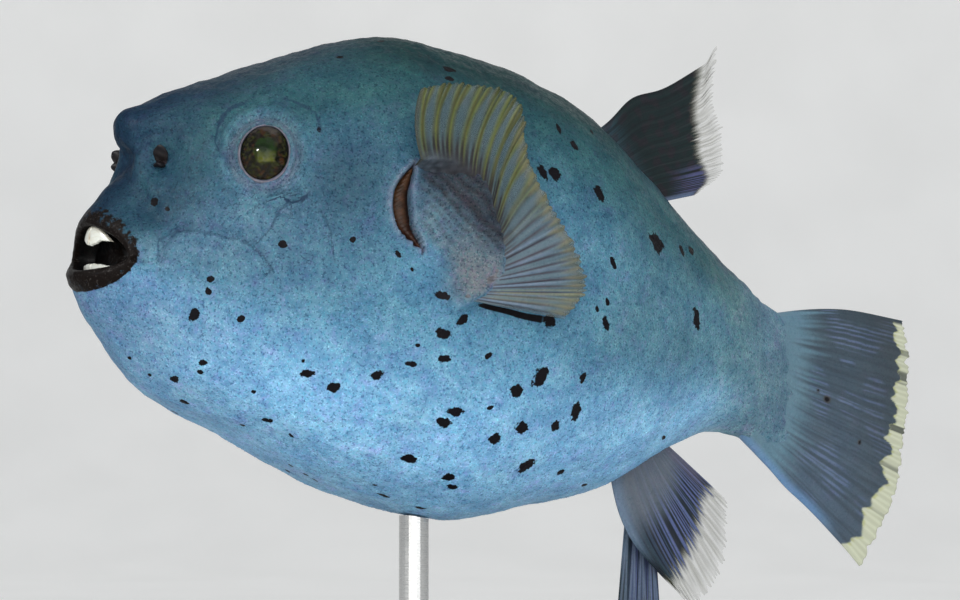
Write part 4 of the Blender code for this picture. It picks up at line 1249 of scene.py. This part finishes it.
def ray_pattern(across, out, rays, fork=0.42, width=0.13):
    """How much a place lies on a ray, 0 to 1: each ray is a ridge that forks in two, then in four."""
    away = across * rays - np.floor(across * rays) - 0.5
    first = 0.24 * ease(out, fork, 1.0)
    second = 0.12 * ease(out, fork + 0.25, 1.05)
    gap = np.abs(np.abs(np.abs(away) - first) - second)
    return bump(gap, width * (1 - 0.55 * out))


def ripple(across, rays):
    """The wave of the sheet from ray to ray."""
    return np.sin(across * rays * 2 * math.pi)


def streaks(across, count, seed):
    """Fine uneven lines that run out along a fin, about -1 to 1: a sum of sine waves over its width alone."""
    rng = np.random.default_rng(seed)
    total = np.zeros(across.shape)
    for rate, start in zip(rng.uniform(0.25, 1.0, 14) * count, rng.uniform(0, 2 * math.pi, 14)):
        total += np.sin(across * rate * math.pi + start)
    return total / 2.6


def crowned(across):
    """0 at a fin's leading edge and last ray and 1 between: the square root of sin(pi across)."""
    return np.clip(np.sin(math.pi * across), 0, 1) ** 0.5


def fin_thickness(across, out, film, ray, root, reach, power):
    """The film's thickness, and on it the rays', which halves going out, and the root's, which thins away."""
    return film + ray * (1 - 0.5 * out) + root * ease(out, reach, -0.1) ** power * crowned(across)


def fringe_film(clear, most, ray, streak, out):
    """How solid a fin's tissue is: clear lets most of it go, but less on the rays and on some streaks."""
    return 1 - clear * (most - 0.16 * ray * ease(out, 1.0, 0.90) - 0.08 * ease(streak, 0.2, 0.8))


def make_fin(name, middle, thickness, colour, film, slot, node, plain=None):
    """A closed fin: the middle sheet moved along its normal, by half the thickness, to either side."""
    rows, columns = middle.shape[:2]
    normal = unit(np.cross(np.gradient(middle, axis=0), np.gradient(middle, axis=1)))
    half = normal * thickness[..., None] / 2
    points = np.concatenate([(middle + half).reshape(-1, 3), (middle - half).reshape(-1, 3)])
    one = grid_faces(rows, columns)
    other = one[:, ::-1] + rows * columns
    index = np.arange(rows * columns).reshape(rows, columns)
    rim = np.concatenate([index[0, :-1], index[:-1, -1], index[-1, :0:-1], index[:0:-1, 0]])
    after = np.roll(rim, -1)
    band = np.stack([rim, after, after + rows * columns, rim + rows * columns], 1)
    numbers = {"film": film, "plain": 0 * film if plain is None else plain}
    add_piece(
        name, place(points), turned_faces([one, other, band], True), FIN_FINISH, (node,),
        colour=np.tile(colour.reshape(-1, 3), (2, 1)),
        numbers={label: np.tile(values.reshape(-1), 2) for label, values in numbers.items()},
    )


def make_caudal():
    """The tail fin: fine forked rays, blue-grey, with a cream margin that dark ray tips and gaps cross."""
    rays = 11
    across, out = fin_grid(rays, 18, 150)
    ray = ray_pattern(across, out, rays)
    ragged = streaks(across, 90, 106)
    sheet = fin_sheet(CAUDAL_ROOT, CAUDAL_MARGIN, across, out * (0.988 + 0.006 * ragged * ease(out, 0.8, 1)))
    sheet[..., 1] += 0.0040 * waves(sheet, 0.12, 101) * out + 0.0012 * ripple(across, rays) * out
    sheet[..., 2] += 0.013 * ease(1 - across, 0.6, 1.0) * np.sin(math.pi * out)
    sheet[..., 2] -= 0.006 * ease(across, 0.9, 1.0) * np.sin(2 * math.pi * out) * ease(out, 0.3, 0.5)
    thick = fin_thickness(across, out, 0.0014, 0.0012 * ray, 0.092, 0.62, 1.7)
    near = ease(out + 0.03 * streaks(across, 70, 103), 0.26, 0.50)
    streak = streaks(across + 0.01 * np.sin(out * 5), 120, 102)
    inner = 0.930 - 0.040 * across + 0.010 * streaks(across, 60, 108) + 0.012 * streaks(across, 18, 109)
    band = ease(out - inner, 0.0, 0.012) * ease(across, 0.012, 0.03)
    pale_streak = near * ease(-streak, 0.2, 0.9) * ease(waves(sheet, 0.07, 104), -0.1, 0.5)
    tone = blended(CAUDAL_BASE, (0.058, 0.086, 0.108) + across[..., None] * (0.014, 0.022, 0.042), near)
    tone = painted(
        tone * (1 - 0.10 * near - 0.24 * near * (1 - across))[..., None],
        ((0.030, 0.044, 0.058), 0.40 * near * ease(streak, 0.1, 0.8)),
        ((0.110, 0.150, 0.260), 0.55 * pale_streak),
        ((0.036, 0.048, 0.062), 0.35 * near * ray),
        ((0.034, 0.042, 0.046), 0.50 * ease(out, 0.62, 0.90) * (1 - 0.55 * across)),
        ((0.110, 0.210, 0.360), 0.8 * ease(across, 0.94, 0.99) * ease(out, 0.85, 0.6)),
        ((0.46, 0.48, 0.36), band),
        ((0.34, 0.36, 0.10), 0.6 * band * ease(out - inner, 0.030, 0.010) * ease(streak, -0.2, 0.4)),
    )
    for middle, half, strength in CAUDAL_GAPS:
        gap = ease(np.abs(across - middle + 0.004 * streak), half, half * 0.6)
        tone = blended(tone, (0.060, 0.070, 0.060), strength * gap * band)
    shaken = 0.003 * waves(sheet, 0.01, 107)
    for spot_across, spot_out, size in CAUDAL_SPOTS:
        gap = 0.9 * np.hypot(across - spot_across, out - spot_out)
        tone = blended(tone, (0.050, 0.035, 0.020), 0.6 * ease(gap, size * 1.5, size * 0.9))
        tone = blended(tone, BLACK, ease(gap + shaken, size, size * 0.7))
    make_fin("caudal", sheet, thick, tone, 1 - 0.22 * band * (1 - ray), "grey_fin", "caudal_fin", plain=band)


def make_dorsal():
    """The dorsal fin: charcoal with a teal cast, violet rays low at the back, and a clear fringe behind."""
    rays = 11
    across, out = fin_grid(rays, 18, 110)
    ray = ray_pattern(across, out, rays, 0.35)
    streak = streaks(across, 110, 112)
    sheet = fin_sheet(DORSAL_ROOT, DORSAL_MARGIN, across, out * (0.985 + 0.012 * streak * ease(out, 0.7, 1)))
    bow = (0.0125 * bump(out - 0.36, 0.15) + 0.012 * ease(out, 0.88, 1.0)) * (1 - across) ** 2
    sheet += np.stack([-0.5 * bow, 0 * bow, 0.87 * bow], -1)
    sheet[..., 1] += 0.0010 * ripple(across, rays) * out
    thick = fin_thickness(across, out, 0.0012, 0.0009 * ray, 0.030, 0.4, 1.6)
    violet = ease(across, 0.60, 0.78) * ease(out, 0.35, 0.75) * ease(-streak, -0.4, 0.5)
    limit = curve(across, (0.0, 0.3, 0.55, 0.75, 0.9, 1.0), (0.84, 0.81, 0.75, 0.80, 0.90, 0.95))
    clear = ease(out + 0.012 * streak - limit, -0.05, 0.06)
    tone = painted(
        (0.008, 0.016, 0.017),
        ((0.034, 0.075, 0.100), 0.8 * ease(out, 0.30, 0.02) * (1 - 0.6 * across)),
        ((0.020, 0.012, 0.018), 0.5 * ease(waves(sheet, 0.02, 113), 0.0, 0.7)),
        ((0.008, 0.010, 0.012), 0.6 * ease(streak, 0.1, 0.7)),
        ((0.080, 0.085, 0.190), 0.75 * violet),
        ((0.085, 0.120, 0.190), 0.9 * ease(across, 0.93, 0.99) * ease(out, 1.0, 0.8)),
        ((0.075, 0.075, 0.038), 0.9 * clear),
    )
    film = fringe_film(clear, 0.94, ray, streak, out)
    make_fin("dorsal", sheet, thick, tone, film, "dark_fin", "dorsal_fin")


def make_anal():
    """The anal fin, folded at its front: a pale fleshy layer over a narrower one, with a clear fringe."""
    for layer, (root, margin, rays, depth) in enumerate(ANAL_LAYERS):
        across, out = fin_grid(rays, 20, 120)
        ray = ray_pattern(across, out, rays, 0.30)
        streak = streaks(across, 90, 122 + layer)
        sheet = fin_sheet(root, margin, across, out * (0.98 + 0.016 * streak * ease(out, 0.7, 1)))
        bow = 0.024 * (1 - layer) * np.sin(math.pi * out) * ease(across, 0.5, 0.0)
        sheet += np.stack([-0.80 * bow, 0 * bow, -0.60 * bow], -1)
        sheet[..., 1] += 0.0016 * ripple(across, rays) * out
        thick = fin_thickness(across, out, 0.0013, 0.0016 * ray, depth, 0.45, 1.6)
        limit = curve(across, (0.0, 0.25, 0.5, 0.8, 1.0), (0.95, 0.80, 0.72, 0.68, 0.80)) + 0.2 * layer
        clear = ease(out + 0.030 * streak - limit, -0.05, 0.06)
        tone = painted(
            (0.028, 0.050, 0.064),
            ((0.150, 0.190, 0.420), 0.75 * ease(-streak, -0.1, 0.6) * ease(across, 0.15, 0.4)),
            ((0.018, 0.020, 0.030), 0.80 * ease(streak, 0.05, 0.55) * ease(out, 0.38, 0.52)),
            ((0.165, 0.195, 0.235), 0.85 * ease(out + 0.10 * across, 0.58, 0.34)),
            ((0.190, 0.280, 0.400), 0.8 * ease(across, 0.22, 0.02) * ease(out, 0.8, 0.5)),
            ((0.170, 0.160, 0.230), 0.6 * ease(across, 0.80, 1.0) * ease(out, 0.8, 0.5)),
            ((0.180, 0.250, 0.360), 0.6 * layer * ray),
        )
        tone = blended(0.64 * tone, (0.085, 0.090, 0.045), 0.9 * clear)
        film = fringe_film(clear, 0.93, ray, streak, out)
        make_fin(("anal", "anal_back")[layer], sheet, thick, tone, film, "grey_fin", "anal_fin")


def make_pectoral(side_name, hand):
    """A fleshy lobe from the flank to the wrist, then a fan: olive rays above, brown banded rays below."""
    rays, lobe = 17, 0.24
    across, out = fin_grid(rays, 20, 130)
    within, beyond = np.clip(out / lobe, 0, 1), np.clip((out - lobe) / (1 - lobe), 0, 1)
    away = across * rays - np.floor(across * rays) - 0.5
    upper = ease(across, 0.72, 0.38)
    ray = bump(np.abs(np.abs(away) - 0.22 * ease(beyond, 0.55, 1.0)), 0.19 - 0.08 * beyond + 0.10 * upper)
    pair = bump(np.abs(away) - 0.20 - 0.06 * beyond, 0.085)
    streak = streaks(across, 130, 131)
    hinge, wrist, edge = (through(line, across) for line in (PECTORAL_HINGE, PECTORAL_WRIST, PECTORAL_MARGIN))
    reach = beyond * (0.987 + (0.005 * ray + 0.009 * streak) * ease(beyond, 0.75, 1))
    sheet = hinge + (wrist - hinge) * within[..., None] + (edge - wrist) * reach[..., None]
    bow = 4 * beyond * (1 - beyond)
    sheet[..., 0] -= 0.010 * bow * upper
    sheet[..., 1] += (0.0018 * ripple(across, rays) + 0.0005 * streak) * beyond + 0.004 * bow * upper
    root = ease(out, 0.42, 0.05) ** 1.2 * (0.25 + 0.75 * crowned(across))
    thick = 0.0013 + 0.0018 * ray * (1 - 0.5 * beyond) + (0.005 + 0.015 * ease(across, 0.30, 0.60)) * root
    olive = painted(
        (0.058, 0.092, 0.108),
        ((0.082, 0.096, 0.024), 0.95 * ray),
        ((0.030, 0.022, 0.012), 0.50 * ray * ease(streak, 0.0, 0.6)),
    )
    brown = painted(
        (0.078, 0.122, 0.150),
        # A pale lilac line down the middle of each lower ray: a painted highlight on its ridge
        ((0.135, 0.172, 0.250), 0.6 * bump(away, 0.10) * ease(beyond, 0.9, 0.5)),
        ((0.030, 0.020, 0.032), 0.90 * pair * (1 - 0.5 * ease(beyond, 0.6, 0.95))),
    )
    front = ease(across, 0.85, 0.50)
    flesh = painted(
        (0.085, 0.110, 0.135),
        ((0.115, 0.110, 0.120), ease(across, 0.45, 0.8)),
        ((0.016, 0.014, 0.017), 0.92 * front * (0.45 + 0.55 * ease(across, 0.02, 0.25))),
    )
    dusk = front * ease(beyond, 0.42, 0.05 + 0.06 * streak) * ease(across, -0.05, 0.08)
    rim = ease(beyond + 0.04 * streak, 0.78, 0.94) * ease(across, 0.30, 0.55)
    foot = ease(across, 0.86, 0.90) * ease(across, 0.975, 0.955) * ease(beyond, 0.10, 0.25)
    tone = painted(
        olive,
        (brown, ease(across, 0.50, 0.70)),
        ((0.018, 0.016, 0.018), np.clip(0.95 * dusk * (0.85 + 0.25 * streak), 0, 0.95)),
        ((0.125, 0.118, 0.060), (0.45 + 0.25 * ray) * rim),
        ((0.165, 0.175, 0.110), 0.45 * foot * (0.6 + 0.4 * streak)),
        (varied(flesh, 0.35, sheet, 0.012, 132), ease(out, lobe * 1.5, lobe * 0.85)),
        ((0.050, 0.045, 0.020), 0.7 * ease(across, 0.02, 0.0)),
        ((0.060, 0.080, 0.090), 0.6 * ease(across, 0.975, 0.995)),
    )
    web = ease(beyond, 0.12, 0.5) * (1 - ray)
    film = 1 - web * (0.22 * upper + 0.12) - 0.45 * ease(beyond + 0.02 * streak, 0.93, 1.0) * (1 - 0.6 * ray)
    film = np.clip(film, 0.12, 1) * (1 - 0.55 * ease(across, 0.975, 0.995) * ease(beyond, 0.3, 0.6))
    tables = (sheet * (1, hand, 1), thick, tone, film)
    if hand > 0:
        tables = (table[::-1] for table in tables)
    make_fin("pectoral_" + side_name, *tables, "tan_fin", "pectoral_fin_" + side_name)


# ---------------------------------------------------------------- stand, floor, lights and camera


def finish_stand():
    """Stained wood on the stand's plate, and brushed steel on its rod and collar."""
    wood, steel = wood_finish(), steel_finish()
    for name, material in (("stand_base", wood), ("stand_rod", steel), ("stand_collar", steel)):
        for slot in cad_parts[name].material_slots:
            slot.material = material


def make_backdrop():
    """A pale floor that sweeps up behind into a wall: flat, then a quarter circle, then upright."""
    run = np.linspace(0, 1, 90)
    turn = np.clip((run - 0.5) / 0.2, 0, 1) * math.pi / 2
    depth = -1.6 + 4.4 * np.minimum(run, 0.5) / 0.5 + 0.9 * np.sin(turn)
    height = 0.9 * (1 - np.cos(turn)) + 4.0 * np.clip((run - 0.7) / 0.3, 0, 1)
    width = np.linspace(-4, 4, 30)
    across, back = np.meshgrid(width, np.arange(len(run)), indexing="ij")
    x = across * math.cos(VIEW_TURN) - depth[back] * math.sin(VIEW_TURN)
    y = across * math.sin(VIEW_TURN) + depth[back] * math.cos(VIEW_TURN)
    points = np.stack([x, y, height[back]], -1).reshape(-1, 3)
    mesh = bpy.data.meshes.new("floor")
    mesh.from_pydata(points.tolist(), [], grid_faces(len(width), len(run))[:, ::-1].tolist())
    mesh.shade_smooth()
    mesh.materials.append(floor_finish())
    floor = bpy.data.objects.new("floor", mesh)
    bpy.context.scene.collection.objects.link(floor)


def aim(item, target):
    """Turns a light so that it looks at the target, level."""
    away = np.array(item.location) - np.array(target)
    flat = math.hypot(away[0], away[1])
    item.rotation_euler = (math.pi / 2 - math.atan2(away[2], flat), 0, math.atan2(away[0], -away[1]))


def make_light(name, location, size, power, colour=(1, 1, 1), glossy_only=False):
    """A round soft light that looks at the fish; glossy_only makes it show in highlights alone."""
    data = bpy.data.lights.new(name, "AREA")
    data.shape, data.size, data.energy, data.color = "DISK", size, power, colour
    item = bpy.data.objects.new(name, data)
    item.location = location
    item.visible_diffuse = not glossy_only
    aim(item, (0.0, 0.0, AXIS_HEIGHT))
    bpy.context.scene.collection.objects.link(item)


def light_and_view():
    """Big soft lights, a small one for the eye's glint, a pale sky and the camera."""
    make_light("front_light", (-0.80, -1.15, 0.45), 1.6, 11.6, (1.0, 0.985, 0.955))
    make_light("top_light", (0.25, -0.45, 1.40), 1.5, 5.0)
    make_light("low_light", (-0.25, -1.25, 0.26), 1.4, 11.0, (0.98, 0.985, 1.0))
    make_light("back_light", (0.9, 0.9, 0.8), 0.9, 0.7)
    make_light("catch_light", (-1.08, -0.50, 0.82), 0.12, 14, glossy_only=True)
    world = bpy.data.worlds.new("studio")
    world.use_nodes = True
    background = world.node_tree.nodes["Background"]
    background.inputs["Color"].default_value = (0.93, 0.96, 1.0, 1)
    background.inputs["Strength"].default_value = 0.46
    bpy.context.scene.world = world
    bpy.context.scene.view_settings.view_transform = "Standard"
    camera = bpy.data.cameras.new("camera")
    camera.lens, camera.sensor_width, camera.clip_start = 108.15, 36.0, 0.01
    item = bpy.data.objects.new("camera", camera)
    item.location = (-0.3289, -0.6986, 0.0711)
    item.rotation_euler = (math.radians(90 + 4.44), 0, math.radians(-26.52))
    bpy.context.scene.collection.objects.link(item)
    bpy.context.scene.camera = item


EYE_HERE, EYE_OUTWARD, EYE_FORWARD, EYE_UPWARD = skin_frame(EYE_PLACE, -1)
SPOTS = spot_frames()
EYEBALL_FINISH, CORNEA_FINISH, BEAK_FINISH = eyeball_finish(), cornea_finish(), beak_finish()
RIM_FINISH = tissue_finish("eye_rim", gloss=0.3, speckle=0.5)
FLAP_FINISH = tissue_finish("nostril_flap", gloss=0.45, speckle=0.5)
GILL_FINISH = tissue_finish("gill_lining", gloss=0.35, speckle=0.6)
FIN_FINISH = tissue_finish("fin_film", gloss=0.42, grain=0.1, speckle=0.3)
PRICKLE_FINISH = skin_finish("prickles", coat=True)

surface, tone, label = make_skin()
make_prickles("prickles_fore", surface, tone, label, 0.060, 0.42, 3)
make_prickles("prickles_hind", surface, tone, label, 0.42, 0.93, 4)
for side_name, hand in (("left", -1), ("right", 1)):
    for make in (make_eyeball, make_cornea, make_eye_rim, make_nostril, make_gill_lining, make_pectoral):
        make(side_name, hand)
make_beak("upper_beak", UPPER_TOOTH, "upper_teeth", 0.9, 1.0)
make_beak("lower_beak", LOWER_TOOTH, "lower_teeth", 0.3, 0.5)
make_caudal()
make_dorsal()
make_anal()
finish_stand()
make_backdrop()
light_and_view()
